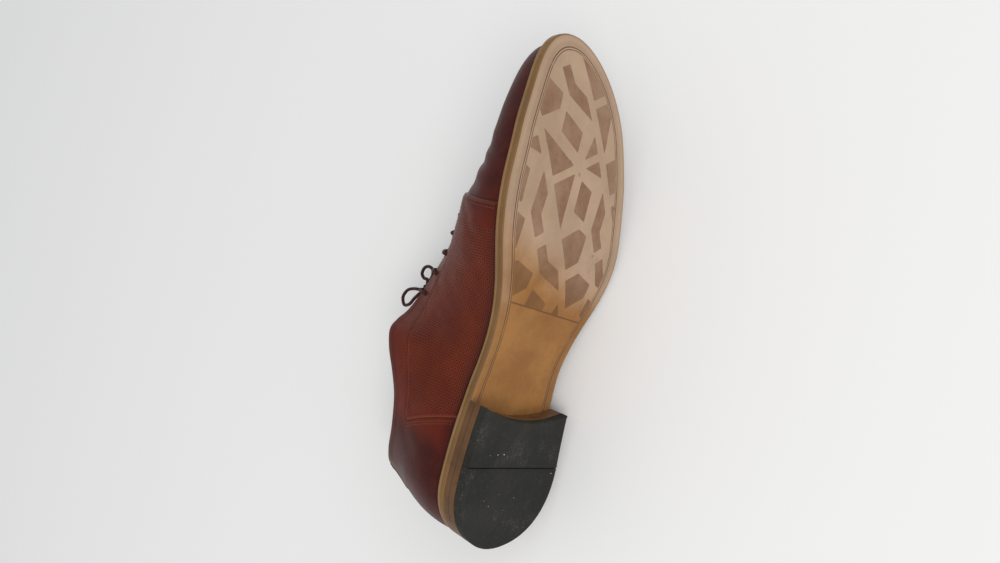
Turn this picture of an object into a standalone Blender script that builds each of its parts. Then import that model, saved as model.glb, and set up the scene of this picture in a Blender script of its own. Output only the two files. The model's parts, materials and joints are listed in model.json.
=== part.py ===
"""A left leather derby shoe, plain-toed and laced, lying on its outer side.

The shoe is worked out in its own frame: x runs from the back of the heel to the toe, y towards
the little toe and z up from the ground it would be worn on. Lengths along the shoe are shares of
LENGTH, widths are shares of BALL_WIDTH and heights above the sole are shares of INSTEP_HEIGHT.
lie_down then turns all the pieces together onto the outer side of the shoe.
"""
from collections import namedtuple
import math

import bmesh
import bpy
from mathutils import Matrix, Vector
import numpy as np

# Driving sizes in metres
LENGTH = 0.295
BALL_WIDTH = 0.106
INSTEP_HEIGHT = 0.080
TOE_SPRING = 0.0106
OUTSOLE_THICK = 0.0034
MIDSOLE_THICK = 0.0020
LIFT_THICK = 0.0084
TOP_PIECE_THICK = 0.0056
INSOLE_THICK = 0.0025
WALL = 0.0020
OVERLAY_STEP = 0.0008
TONGUE_THICK = 0.0018
LACE_RADIUS = 0.0011
KNOT_HALF_SIZE = (0.0034, 0.0042, 0.0026)
EYELET_RADIUS = 0.0017
EYELET_INSET = 0.0085
GAP = 0.0003

# The sole in side view, as shares of LENGTH
HEEL_SEAT_END = 0.305
BALL_START = 0.600
TOE_SPRING_START = 0.730

# The round ends of the sole in plan: length as a share of LENGTH, and how square they are
HEEL_ROUND, HEEL_SQUARENESS = 0.145, 2.2
TOE_ROUND, TOE_SQUARENESS = 0.186, 2.1

# Heel lines across the tread: where they leave the lateral and the medial side, as shares of
# LENGTH, and how far the middle bows towards the back
HeelLine = namedtuple("HeelLine", "lateral medial bow")
BREAST = HeelLine(0.248, 0.302, 0.022)
JOINT = HeelLine(0.133, 0.192, 0.000)

# The sole in plan: its centre line and half width, as shares of BALL_WIDTH
Plan = namedtuple("Plan", "along centre half")
PLAN = [
    Plan(0.00, -0.085, 0.375),
    Plan(0.14, -0.080, 0.376),
    Plan(0.245, -0.037, 0.362),
    Plan(0.33, 0.017, 0.348),
    Plan(0.37, 0.047, 0.353),
    Plan(0.42, 0.078, 0.374),
    Plan(0.48, 0.103, 0.419),
    Plan(0.53, 0.105, 0.457),
    Plan(0.59, 0.092, 0.489),
    Plan(0.65, 0.078, 0.496),
    Plan(0.72, 0.069, 0.482),
    Plan(0.80, 0.064, 0.437),
    Plan(0.88, 0.064, 0.388),
    Plan(1.00, 0.032, 0.350),
]

# How far the upper's lower edge stands in from the sole's edge, along the shoe
Inset = namedtuple("Inset", "along depth")
FEATHER = [
    Inset(0.00, 0.0016),
    Inset(0.25, 0.0016),
    Inset(0.45, 0.0022),
    Inset(0.65, 0.0030),
    Inset(1.00, 0.0036),
]

# One row for each section of the upper, from the toe tip over the throat to the back of the
# collar. walk: where the section leaves the sole's edge, as a share of the way from the heel's
# back to the toe. top_x, top_h, centre, gap: the top point, with its height above the sole and
# its distance to each side of the centre line. rise and flare: the handle at the bottom of the
# section, as a share of its height and an outward share of BALL_WIDTH. reach, puff and drop: the
# handle at the top, as a share of the way out to the edge, an outward share of BALL_WIDTH and a
# share of the height. steps: how many strips the section has to the next one.
Section = namedtuple("Section", "walk top_x top_h centre gap rise flare reach puff drop steps")
SECTIONS = [
    Section(1.000, 0.988, 0.000, 0.032, 0.000, 0.55, 0.000, 0.55, 0.00, 0.00, 2),
    Section(0.972, 0.984, 0.110, 0.030, 0.000, 0.55, 0.000, 0.58, 0.00, 0.00, 2),
    Section(0.935, 0.967, 0.220, 0.026, 0.000, 0.60, 0.004, 0.60, 0.00, 0.00, 2),
    Section(0.885, 0.930, 0.318, 0.020, 0.000, 0.62, 0.008, 0.62, 0.00, 0.00, 2),
    Section(0.838, 0.875, 0.393, 0.012, 0.000, 0.62, 0.014, 0.62, 0.00, 0.00, 2),
    Section(0.783, 0.812, 0.450, 0.002, 0.000, 0.60, 0.018, 0.60, 0.00, 0.00, 2),
    Section(0.728, 0.752, 0.525, -0.008, 0.000, 0.58, 0.020, 0.58, 0.00, 0.00, 2),
    Section(0.671, 0.690, 0.668, -0.017, 0.000, 0.56, 0.022, 0.56, 0.00, 0.00, 1),
    Section(0.655, 0.676, 0.692, -0.020, 0.050, 0.55, 0.022, 0.52, 0.00, 0.04, 1),
    Section(0.632, 0.646, 0.728, -0.024, 0.066, 0.54, 0.022, 0.48, 0.00, 0.08, 2),
    Section(0.590, 0.598, 0.805, -0.028, 0.072, 0.52, 0.022, 0.46, 0.00, 0.11, 2),
    Section(0.548, 0.545, 0.885, -0.032, 0.078, 0.50, 0.022, 0.42, 0.00, 0.14, 2),
    Section(0.508, 0.494, 0.965, -0.036, 0.084, 0.48, 0.022, 0.38, 0.01, 0.17, 2),
    Section(0.470, 0.442, 1.050, -0.038, 0.094, 0.46, 0.022, 0.34, 0.01, 0.20, 2),
    Section(0.442, 0.404, 1.105, -0.040, 0.120, 0.44, 0.022, 0.30, 0.02, 0.24, 1),
    Section(0.420, 0.384, 1.095, -0.042, 0.185, 0.42, 0.022, 0.20, 0.03, 0.28, 1),
    Section(0.397, 0.366, 1.040, -0.045, 0.250, 0.40, 0.024, 0.08, 0.04, 0.30, 2),
    Section(0.365, 0.335, 0.930, -0.050, 0.290, 0.38, 0.026, 0.00, 0.04, 0.32, 2),
    Section(0.318, 0.290, 0.815, -0.060, 0.300, 0.36, 0.028, 0.00, 0.04, 0.32, 2),
    Section(0.272, 0.240, 0.750, -0.068, 0.295, 0.36, 0.028, 0.00, 0.04, 0.32, 2),
    Section(0.212, 0.172, 0.760, -0.078, 0.272, 0.36, 0.030, 0.00, 0.04, 0.32, 2),
    Section(0.146, 0.105, 0.850, -0.085, 0.218, 0.36, 0.034, 0.00, 0.04, 0.32, 3),
    Section(0.088, 0.056, 0.945, -0.090, 0.128, 0.36, 0.040, 0.00, 0.04, 0.32, 4),
    Section(0.000, 0.032, 0.975, -0.088, 0.000, 0.36, 0.046, 0.00, 0.04, 0.32, 0),
]
THROAT_FRONT = 7
PANEL_BACK = 18
TAB_EDGE = 22

# How much of the table, and of a section's height, a step in the wall takes
STEP_RUN = 0.03
STEP_RISE = 0.01

# Heights on a section, as shares of its length from the sole's edge to its top
TAB_FOOT = 0.62
BAND_FOOT = 0.80
LEVELS = [0.0, 0.12, 0.24, 0.36, 0.49, TAB_FOOT, TAB_FOOT + STEP_RISE, 0.71, BAND_FOOT,
          BAND_FOOT + STEP_RISE, 0.87, 0.94, 1.0]

# The tongue: the stretch of the table that it lies under, the heights on each section that it
# spans, and the rows of its tip, in steps past the last section and as shares of its width
TONGUE_FRONT, TONGUE_BACK = 6.35, 13.6
TONGUE_LEVELS = (0.70, 0.85, 0.985)
TipRow = namedtuple("TipRow", "steps width")
TONGUE_TIP = [TipRow(1.0, 0.88), TipRow(1.9, 0.80), TipRow(2.4, 0.62)]

# Lace rows, as places along the section table
LACE_ROWS = [9.25, 10.05, 10.9, 11.8, 12.75]

# The free lace, in the shoe's frame: points as shares of LENGTH, BALL_WIDTH and INSTEP_HEIGHT,
# the last measured from the top of the knot's lace row
CordPoint = namedtuple("CordPoint", "along across up")
BACK_LOOP = [
    CordPoint(-0.004, -0.054, 0.020), CordPoint(-0.006, -0.066, 0.090),
    CordPoint(-0.014, -0.072, 0.165), CordPoint(-0.032, -0.078, 0.205),
    CordPoint(-0.047, -0.086, 0.165), CordPoint(-0.042, -0.090, 0.090),
    CordPoint(-0.024, -0.086, 0.030), CordPoint(-0.010, -0.066, -0.006),
]
FRONT_LOOP = [
    CordPoint(0.019, -0.014, 0.010), CordPoint(0.020, -0.012, 0.060),
    CordPoint(0.028, -0.010, 0.095), CordPoint(0.042, -0.010, 0.075),
    CordPoint(0.049, -0.012, 0.000), CordPoint(0.044, -0.014, -0.045),
    CordPoint(0.032, -0.014, -0.050), CordPoint(0.020, -0.012, -0.025),
]
FRONT_END = [
    CordPoint(0.006, 0.054, -0.010), CordPoint(0.015, 0.100, -0.060),
    CordPoint(0.021, 0.150, -0.125), CordPoint(0.026, 0.200, -0.190),
    CordPoint(0.031, 0.245, -0.248), CordPoint(0.036, 0.290, -0.315),
]
BACK_END = [
    CordPoint(-0.008, 0.054, 0.000), CordPoint(-0.022, 0.110, 0.030),
    CordPoint(-0.034, 0.158, -0.010), CordPoint(-0.041, 0.202, -0.072),
    CordPoint(-0.045, 0.240, -0.136), CordPoint(-0.046, 0.282, -0.215),
]

LEATHER = ("leather", (0.20, 0.055, 0.028, 1.0), 0.45)
LINING = ("lining leather", (0.42, 0.27, 0.16, 1.0), 0.70)
SOLE_TAN = ("sole tan", (0.46, 0.31, 0.17, 1.0), 0.60)
EDGE_TAN = ("edge tan", (0.36, 0.22, 0.10, 1.0), 0.55)
RUBBER = ("heel rubber", (0.045, 0.046, 0.045, 1.0), 0.80)
LACE = ("waxed lace", (0.09, 0.025, 0.020, 1.0), 0.55)


def smooth(places, values, query):
    """Cubic curve through the values, each with the slope that its neighbours give it."""
    places, values = np.asarray(places, float), np.asarray(values, float)
    query = np.asarray(query, float)
    slope = np.gradient(values, places, axis=0)
    i = np.clip(np.searchsorted(places, query, side="right") - 1, 0, len(places) - 2)
    span = places[i + 1] - places[i]
    t = (query - places[i]) / span
    if values.ndim > 1:
        t, span = t[:, None], span[:, None]
    return ((2 * t**3 - 3 * t**2 + 1) * values[i] + (t**3 - 2 * t**2 + t) * span * slope[i]
            + (3 * t**2 - 2 * t**3) * values[i + 1] + (t**3 - t**2) * span * slope[i + 1])


def ease(t):
    """An S-shaped step from 0 to 1."""
    t = np.clip(t, 0.0, 1.0)
    return t * t * (3.0 - 2.0 * t)


def heel_stack():
    """Height of the outsole's underside over the heel."""
    return TOP_PIECE_THICK + LIFT_THICK + 2 * GAP


def under(x):
    """Underside of the outsole: level heel seat, arch down to a level ball, then toe spring."""
    along = np.asarray(x, float) / LENGTH
    arch = heel_stack() * ease((BALL_START - along) / (BALL_START - HEEL_SEAT_END))
    spring = np.clip((along - TOE_SPRING_START) / (1.0 - TOE_SPRING_START), 0.0, None)
    return arch + TOE_SPRING * spring**2


def sole_top(x):
    """Upper face of the midsole."""
    return under(x) + OUTSOLE_THICK + GAP + MIDSOLE_THICK


def plan_half(along):
    """Half width of the sole, rounded off at both ends."""
    heel = np.clip(1.0 - along / HEEL_ROUND, 0.0, 1.0)
    toe = np.clip(1.0 - (1.0 - along) / TOE_ROUND, 0.0, 1.0)
    rounding = ((1.0 - heel**HEEL_SQUARENESS) ** (1.0 / HEEL_SQUARENESS)
                * (1.0 - toe**TOE_SQUARENESS) ** (1.0 / TOE_SQUARENESS))
    half = smooth([p.along for p in PLAN], [p.half for p in PLAN], along)
    return BALL_WIDTH * half * rounding


def plan_centre(along):
    """Centre line of the sole in plan."""
    return BALL_WIDTH * smooth([p.along for p in PLAN], [p.centre for p in PLAN], along)


def sole_side(side, insets, extra=0.0, count=361):
    """One side of the sole's outline, heel to toe, moved in: points, outward normals, walk.

    side is 1 for lateral and -1 for medial. The stations crowd towards the round ends as a
    cosine does. insets is a table of Inset rows or None, and extra is a further inset.
    """
    along = (1.0 - np.cos(np.pi * np.linspace(0.0, 1.0, count))) / 2.0
    points = np.c_[along * LENGTH, plan_centre(along) + side * plan_half(along)]
    tangent = np.gradient(points, axis=0)
    tangent[0], tangent[-1] = (0.0, side), (0.0, -side)
    tangent /= np.linalg.norm(tangent, axis=1)[:, None]
    normal = side * np.c_[-tangent[:, 1], tangent[:, 0]]
    depth = np.full(count, extra)
    if insets:
        depth += smooth([i.along for i in insets], [i.depth for i in insets], along)
    points = points - normal * depth[:, None]
    walk = np.r_[0.0, np.cumsum(np.linalg.norm(np.diff(points, axis=0), axis=1))]
    return points, normal, walk / walk[-1]


FEATHER_EDGE = {side: sole_side(side, FEATHER) for side in (1, -1)}
TABLE = np.array(SECTIONS, float)


def section_handles(place, side):
    """The four Bezier points of the upper's section at each place along the table."""
    row = Section(*smooth(np.arange(len(TABLE)), TABLE, place).T)
    points, normals, walk = FEATHER_EDGE[side]
    share = np.clip(row.walk, 0.0, 1.0)
    foot = np.column_stack([np.interp(share, walk, points[:, k]) for k in (0, 1)])
    out = np.column_stack([np.interp(share, walk, normals[:, k]) for k in (0, 1)])
    out = np.c_[out / np.linalg.norm(out, axis=1)[:, None], np.zeros(len(share))]
    floor = sole_top(foot[:, 0]) + GAP
    top = np.c_[row.top_x * LENGTH,
                (row.centre + side * np.clip(row.gap, 0.0, None)) * BALL_WIDTH,
                floor + np.clip(row.top_h, 0.0, None) * INSTEP_HEIGHT]
    foot = np.c_[foot, floor]
    tip = place < 1e-6
    top[tip] = foot[tip]
    height = (top[:, 2] - floor)[:, None]
    rise = np.array([0.0, 0.0, 1.0]) * height
    low = foot + rise * row.rise[:, None] + out * (row.flare * BALL_WIDTH)[:, None]
    high = top - rise * row.drop[:, None] + out * (row.puff * BALL_WIDTH)[:, None]
    high[:, 1] += side * row.reach * np.abs(top[:, 1] - foot[:, 1])
    return foot, low, high, top


def upper_surface(place, level, side):
    """Points of the upper's outer surface, an array of places by levels by xyz."""
    foot, low, high, top = (h[:, None, :] for h in section_handles(np.asarray(place), side))
    v = np.asarray(level, float)[None, :, None]
    return ((1 - v)**3 * foot + 3 * v * (1 - v)**2 * low + 3 * v**2 * (1 - v) * high
            + v**3 * top)


def upper_normal(place, level, side):
    """Outward unit normals of the upper's outer surface."""
    d = 1e-3
    last = len(TABLE) - 1.0
    p0, p1 = np.clip(place - d, 0.0, last), np.clip(place + d, 0.0, last)
    v0, v1 = np.clip(level - d, 0.0, 1.0), np.clip(level + d, 0.0, 1.0)
    along = upper_surface(p1, level, side) - upper_surface(p0, level, side)
    up = upper_surface(place, v1, side) - upper_surface(place, v0, side)
    normal = side * np.cross(along, up)
    return normal / np.linalg.norm(normal, axis=2)[:, :, None]


def give_material(data, name, material):
    """Give a mesh or a curve a material of its own."""
    label, colour, roughness = material
    surface = bpy.data.materials.new(f"{label} {name}")
    surface.use_nodes = True
    shader = surface.node_tree.nodes["Principled BSDF"]
    shader.inputs["Base Color"].default_value = colour
    shader.inputs["Roughness"].default_value = roughness
    shader.inputs["Metallic"].default_value = 0.0
    data.materials.append(surface)


def make_object(name, bm, material):
    """A scene object from a bmesh, with its own material and smooth shading on shallow edges."""
    bmesh.ops.recalc_face_normals(bm, faces=bm.faces)
    mesh = bpy.data.meshes.new(name)
    bm.to_mesh(mesh)
    bm.free()
    give_material(mesh, name, material)
    mesh.shade_smooth()
    mesh.set_sharp_from_angle(angle=math.radians(35))
    obj = bpy.data.objects.new(name, mesh)
    bpy.context.scene.collection.objects.link(obj)
    return obj


def mesh_from_grid(grids):
    """A bmesh of quads over one or more grids of points, joined where they meet, facing up."""
    bm = bmesh.new()
    for grid in grids:
        verts = [[bm.verts.new(p) for p in row] for row in grid]
        for a, b in zip(verts, verts[1:]):
            for k in range(len(a) - 1):
                bm.faces.new((a[k], b[k], b[k + 1], a[k + 1]))
    bmesh.ops.remove_doubles(bm, verts=bm.verts, dist=1e-6)
    bmesh.ops.recalc_face_normals(bm, faces=bm.faces)
    if sum(f.normal.z * f.calc_area() for f in bm.faces) < 0.0:
        bmesh.ops.reverse_faces(bm, faces=bm.faces)
    return bm


def thicken(bm, outer, inner, flat_rim=None):
    """Turn an open sheet into a closed wall.

    outer and inner give each vertex's distance outwards and inwards along its normal. flat_rim
    picks the vertices whose normal is kept level, so that a lower edge stays on its plane.
    """
    bm.normal_update()
    bm.verts.index_update()
    normals = []
    for vert in bm.verts:
        n = vert.normal.copy()
        if flat_rim and flat_rim(vert.co):
            n.z = 0.0
            n.normalize()
        normals.append(n)
    wall = bmesh.new()
    outside = [wall.verts.new(v.co + n * outer(v)) for v, n in zip(bm.verts, normals)]
    inside = [wall.verts.new(v.co - n * inner(v)) for v, n in zip(bm.verts, normals)]
    for face in bm.faces:
        index = [v.index for v in face.verts]
        wall.faces.new([outside[i] for i in index])
        wall.faces.new([inside[i] for i in reversed(index)])
    for edge in bm.edges:
        if len(edge.link_faces) == 1:
            a, b = (v.index for v in edge.verts)
            wall.faces.new((outside[a], outside[b], inside[b], inside[a]))
    bm.free()
    return wall


def sole_layer(name, material, low, high, insets=None, extra=0.0, strips=56):
    """A layer of the sole between two heights that depend on x, with the sole's own outline."""
    rows = []
    sides = {side: sole_side(side, insets, extra, strips + 1)[0] for side in (1, -1)}
    for k in range(strips + 1):
        rows.append((sides[1][k], sides[-1][k]))
    bm = bmesh.new()
    ring = {}
    for key, height in (("low", low), ("high", high)):
        ring[key] = [[bm.verts.new((p[0], p[1], float(height(p[0])))) for p in row]
                     for row in rows]
    for key in ring:
        for a, b in zip(ring[key], ring[key][1:]):
            bm.faces.new((a[0], b[0], b[1], a[1]))
    for side in (0, 1):
        for k in range(strips):
            bm.faces.new((ring["low"][k][side], ring["low"][k + 1][side],
                          ring["high"][k + 1][side], ring["high"][k][side]))
    bmesh.ops.remove_doubles(bm, verts=bm.verts, dist=1e-6)
    return make_object(name, bm, material)


def heel_line(line, shift, count=9):
    """Points of a line across the heel, lateral to medial, moved along the shoe by shift."""
    ends = np.array([line.lateral, line.medial])
    lateral, medial = plan_centre(ends) + np.array([1, -1]) * plan_half(ends)
    t = np.linspace(0.0, 1.0, count)
    along = line.lateral + (line.medial - line.lateral) * t - line.bow * 4 * t * (1 - t)
    across = lateral + (medial - lateral) * t
    return [(float(x), float(y)) for x, y in zip(along * LENGTH + shift, across)]


def heel_outline(back_line, front_line):
    """Closed outline of a piece of the heel between two lines; without a back line it is round."""
    edges = {}
    for side, name in ((1, "lateral"), (-1, "medial")):
        points = sole_side(side, None, 0.0, 181)[0]
        stop = getattr(front_line, name) * LENGTH - 0.001
        start = getattr(back_line, name) * LENGTH + GAP + 0.001 if back_line else -1.0
        picked = points[(points[:, 0] > start) & (points[:, 0] < stop)]
        edges[side] = [tuple(p) for p in picked[::2 * side]]
    front = heel_line(front_line, 0.0 if front_line is BREAST else -GAP / 2)
    outline = edges[1] + front + edges[-1]
    if back_line:
        outline += heel_line(back_line, GAP / 2)[::-1]
    return outline


def prism(name, material, outline, low, high, bevel=0.0):
    """A flat-ended block over a closed outline, with its tread edge bevelled."""
    bm = bmesh.new()
    base = bm.faces.new([bm.verts.new((x, y, low)) for x, y in outline])
    lifted = bmesh.ops.extrude_face_region(bm, geom=[base])
    moved = [e for e in lifted["geom"] if isinstance(e, bmesh.types.BMVert)]
    bmesh.ops.translate(bm, verts=moved, vec=(0.0, 0.0, high - low))
    bmesh.ops.remove_doubles(bm, verts=bm.verts, dist=1e-6)
    if bevel:
        tread = [e for e in bm.edges if all(v.co.z < low + 1e-6 for v in e.verts)]
        bmesh.ops.bevel(bm, geom=tread, offset=bevel, segments=1, affect="EDGES")
    return make_object(name, bm, material)


def places_along_table():
    """Places where the upper has a section, with a close pair at each step of its wall."""
    places = []
    for k, row in enumerate(SECTIONS[:-1]):
        for step in range(int(row.steps)):
            places.append(k + step / row.steps)
    places.append(len(SECTIONS) - 1.0)
    for step_at in (THROAT_FRONT, PANEL_BACK, TAB_EDGE):
        places.append(step_at + STEP_RUN)
    return np.array(sorted(places))


def overlay(place, level):
    """Height of the overlays: the quarter over the vamp, its panel and the heel tab."""
    quarter = place > THROAT_FRONT + STEP_RUN / 2
    panel = quarter and place < PANEL_BACK + STEP_RUN / 2 and level < BAND_FOOT + STEP_RISE / 2
    tab = place > TAB_EDGE + STEP_RUN / 2 and level > TAB_FOOT + STEP_RISE / 2
    return OVERLAY_STEP * (1.0 * quarter + 0.75 * panel + 1.0 * tab)


def eyelet_level(place, side):
    """Level on a section at which a lace hole stands, EYELET_INSET from the facing's edge."""
    levels = np.linspace(0.5, 1.0, 200)
    line = upper_surface([place], levels, side)[0]
    to_edge = np.linalg.norm(np.diff(line, axis=0), axis=1)[::-1].cumsum()[::-1]
    return float(levels[int(np.argmin(np.abs(to_edge - EYELET_INSET)))])


def eyelets():
    """Centres and outward normals of the lace holes, a lateral and a medial one for each row."""
    found = []
    for place in LACE_ROWS:
        for side in (1, -1):
            level = eyelet_level(place, side)
            centre = upper_surface([place], [level], side)[0, 0]
            normal = upper_normal(np.array([place]), np.array([level]), side)[0, 0]
            found.append((Vector(centre), Vector(normal)))
    return found


def build_upper():
    """The upper: one hollow wall, open at the collar, at the throat and underneath."""
    places = places_along_table()
    levels = np.array(LEVELS)
    grids = [upper_surface(places, levels, side) for side in (1, -1)]
    bm = mesh_from_grid(grids)
    height = {}
    for grid in grids:
        for j, place in enumerate(places):
            for i, level in enumerate(levels):
                key = tuple(np.round(grid[j, i], 6))
                height[key] = max(overlay(place, level), height.get(key, 0.0))

    def outward(vert):
        return height.get(tuple(np.round(np.array(vert.co), 6)), 0.0)

    def on_sole(co):
        return abs(co.z - float(sole_top(co.x)) - GAP) < 1e-5

    wall = thicken(bm, outward, lambda vert: WALL, on_sole)
    upper = make_object("upper", wall, LEATHER)
    drill = bmesh.new()
    for centre, normal in eyelets():
        turn = normal.to_track_quat("Z", "Y").to_matrix().to_4x4()
        bmesh.ops.create_cone(drill, cap_ends=True, segments=10, radius1=EYELET_RADIUS,
                              radius2=EYELET_RADIUS, depth=0.012,
                              matrix=Matrix.Translation(centre) @ turn)
    cutter = make_object("eyelet_cutter", drill, LEATHER)
    cutter.hide_render = True
    cutter.display_type = "WIRE"
    holes = upper.modifiers.new("eyelets", "BOOLEAN")
    holes.operation = "DIFFERENCE"
    holes.solver = "EXACT"
    holes.object = cutter
    return upper, cutter


def build_tongue():
    """The tongue: a sheet under the facings, tucked under the vamp and standing past the collar."""
    depth = WALL + 2.2 * GAP
    rows = []
    for place in np.linspace(TONGUE_FRONT, TONGUE_BACK, 15):
        edges = []
        for side, levels in ((1, TONGUE_LEVELS), (-1, TONGUE_LEVELS[::-1])):
            p = upper_surface([place], levels, side)[0]
            n = upper_normal(np.array([place]), np.array(levels), side)[0]
            edges += list(p - n * depth)
        middle = (edges[2] + edges[3]) / 2 + (0.0, 0.0, -GAP)
        across = [edges[0], edges[1], middle, edges[4], edges[5]]
        rows.append(smooth([0.0, 0.25, 0.5, 0.75, 1.0], across, np.linspace(0, 1, 9)))
    last, step = rows[-1], rows[-1] - rows[-2]
    for tip in TONGUE_TIP:
        row = last + step * tip.steps
        rows.append(row.mean(axis=0) + (row - row.mean(axis=0)) * tip.width)
    sheet = thicken(mesh_from_grid([rows]), lambda vert: 0.0, lambda vert: TONGUE_THICK)
    return make_object("tongue", sheet, LEATHER)


def cord(name, points, radius, count):
    """A lace: a tube with closed ends along a smooth curve through the given points."""
    points = np.array([tuple(p) for p in points], float)
    walk = np.r_[0.0, np.cumsum(np.linalg.norm(np.diff(points, axis=0), axis=1))]
    line = smooth(walk, points, np.linspace(0.0, walk[-1], count))
    curve = bpy.data.curves.new(name, "CURVE")
    curve.dimensions = "3D"
    curve.bevel_depth = radius
    curve.bevel_resolution = 2
    curve.use_fill_caps = True
    spline = curve.splines.new("POLY")
    spline.points.add(count - 1)
    for point, co in zip(spline.points, line):
        point.co = (*co, 1.0)
    obj = bpy.data.objects.new(name, curve)
    bpy.context.scene.collection.objects.link(obj)
    give_material(curve, name, LACE)
    return obj


def build_laces():
    """Straight lace bars over the facings, the knot on the top bar, and its loops and ends."""
    lift = OVERLAY_STEP + LACE_RADIUS + 2 * GAP
    pieces, free = [], []
    for number, place in enumerate(LACE_ROWS, 1):
        points = []
        for side in (1, -1):
            edge_level = eyelet_level(place, side)
            levels = np.linspace(edge_level, 1.0, 4)
            line = upper_surface([place], levels, side)[0]
            normal = upper_normal(np.array([place]), levels, side)[0]
            points.append(line + normal * lift)
        lateral, medial = points
        middle = (lateral[-1] + medial[-1]) / 2 + (0.0, 0.0, 0.0006)
        route = np.vstack([lateral, middle[None], medial[::-1]])
        pieces.append(cord(f"lace_bar_{number}", route, LACE_RADIUS, 21))
        knot = Vector(middle)
    knot += Vector((0.0, 0.0, LACE_RADIUS + KNOT_HALF_SIZE[2] + 2 * GAP))
    bm = bmesh.new()
    bmesh.ops.create_uvsphere(bm, u_segments=14, v_segments=8, radius=1.0)
    bmesh.ops.scale(bm, vec=KNOT_HALF_SIZE, verts=bm.verts)
    bmesh.ops.translate(bm, vec=knot, verts=bm.verts)
    free.append(make_object("lace_knot", bm, LACE))
    for name, route in (("lace_loop_back", BACK_LOOP), ("lace_loop_front", FRONT_LOOP),
                        ("lace_end_back", BACK_END), ("lace_end_front", FRONT_END)):
        points = [knot + Vector((p.along * LENGTH, p.across * BALL_WIDTH, p.up * INSTEP_HEIGHT))
                  for p in route]
        free.append(cord(name, points, LACE_RADIUS, 26 if "loop" in name else 12))
    return pieces, free


def centre_of_mass(objects):
    """Centre of mass of closed meshes of one density."""
    total, moment = 0.0, Vector()
    for obj in objects:
        bm = bmesh.new()
        bm.from_mesh(obj.data)
        bmesh.ops.triangulate(bm, faces=bm.faces)
        for face in bm.faces:
            a, b, c = (v.co for v in face.verts)
            volume = a.dot(b.cross(c)) / 6.0
            total += volume
            moment += volume * (a + b + c) / 4.0
        bm.free()
    return moment / total


def resting_normal(objects):
    """Outward normal of the face of the shoe's hull that it lies on, on its outer side.

    It is the face above which the centre of mass stands, among those that look outwards.
    """
    centre = centre_of_mass(objects)
    hull = bmesh.new()
    for obj in objects:
        for vert in obj.data.vertices:
            hull.verts.new(vert.co)
    bmesh.ops.convex_hull(hull, input=hull.verts)
    bmesh.ops.triangulate(hull, faces=hull.faces)
    best = None
    for face in hull.faces:
        a, b, c = (v.co for v in face.verts)
        normal = (b - a).cross(c - a)
        if normal.length < 1e-12:
            continue
        normal.normalize()
        if normal.dot(a - centre) < 0:
            normal.negate()
            b, c = c, b
        if normal.y < 0.5:
            continue
        foot = centre + normal * normal.dot(a - centre)
        inside = min(normal.dot((q - p).cross(foot - p)) / (q - p).length
                     for p, q in ((a, b), (b, c), (c, a)))
        if best is None or inside > best[0]:
            best = (inside, normal.copy())
    hull.free()
    return best[1]


def lie_down(objects, free):
    """Turn all the pieces onto the shoe's outer side, toe towards +X, with the origin under it."""
    up = -resting_normal(objects)
    forward = Vector((1.0, 0.0, 0.0))
    forward = (forward - up * forward.dot(up)).normalized()
    turn = Matrix((forward, up.cross(forward), up))
    corners = np.array([tuple(turn @ v.co) for obj in objects for v in obj.data.vertices])
    low, high = corners.min(axis=0), corners.max(axis=0)
    shift = Vector((-(low[0] + high[0]) / 2, -(low[1] + high[1]) / 2, -low[2]))
    placed = Matrix.Translation(shift) @ turn.to_4x4()
    for obj in objects + free:
        obj.matrix_world = placed @ obj.matrix_world
    return placed


def build():
    """Every piece of the shoe, then its pose on the floor."""
    for obj in list(bpy.data.objects):
        bpy.data.objects.remove(obj, do_unlink=True)
    sole = [
        sole_layer("outsole", SOLE_TAN, under, lambda x: under(x) + OUTSOLE_THICK),
        sole_layer("midsole", EDGE_TAN, lambda x: under(x) + OUTSOLE_THICK + GAP, sole_top,
                   extra=GAP),
    ]
    lift_low = TOP_PIECE_THICK + GAP
    heel = [
        prism("heel_lift", EDGE_TAN, heel_outline(None, BREAST), lift_low, lift_low + LIFT_THICK),
        prism("heel_top_rear", RUBBER, heel_outline(None, JOINT), 0.0, TOP_PIECE_THICK, 0.0006),
        prism("heel_top_front", RUBBER, heel_outline(JOINT, BREAST), 0.0, TOP_PIECE_THICK,
              0.0006),
    ]
    insole = sole_layer("insole", LINING, lambda x: sole_top(x) + GAP,
                        lambda x: sole_top(x) + GAP + INSOLE_THICK, FEATHER, WALL + 3 * GAP, 36)
    upper, cutter = build_upper()
    tongue = build_tongue()
    bars, free = build_laces()
    body = sole + heel + [insole, upper, tongue]
    placed = lie_down(body, bars + free + [cutter])
    return placed


PLACED = build()
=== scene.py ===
"""The looks of a left leather derby shoe that lies on its outer side.

Everything is worked out in the shoe's own frame: x from the back of the heel to the toe, y towards
the little toe, z up from the ground it would be worn on. Placed turns such points onto the floor
that the shoe lies on. Sizes are in metres, and the shares in the tables are of the named sizes.
"""

import json
import math
from collections import namedtuple

import bmesh
import bpy
import numpy as np
from mathutils import Matrix, Vector


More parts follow.
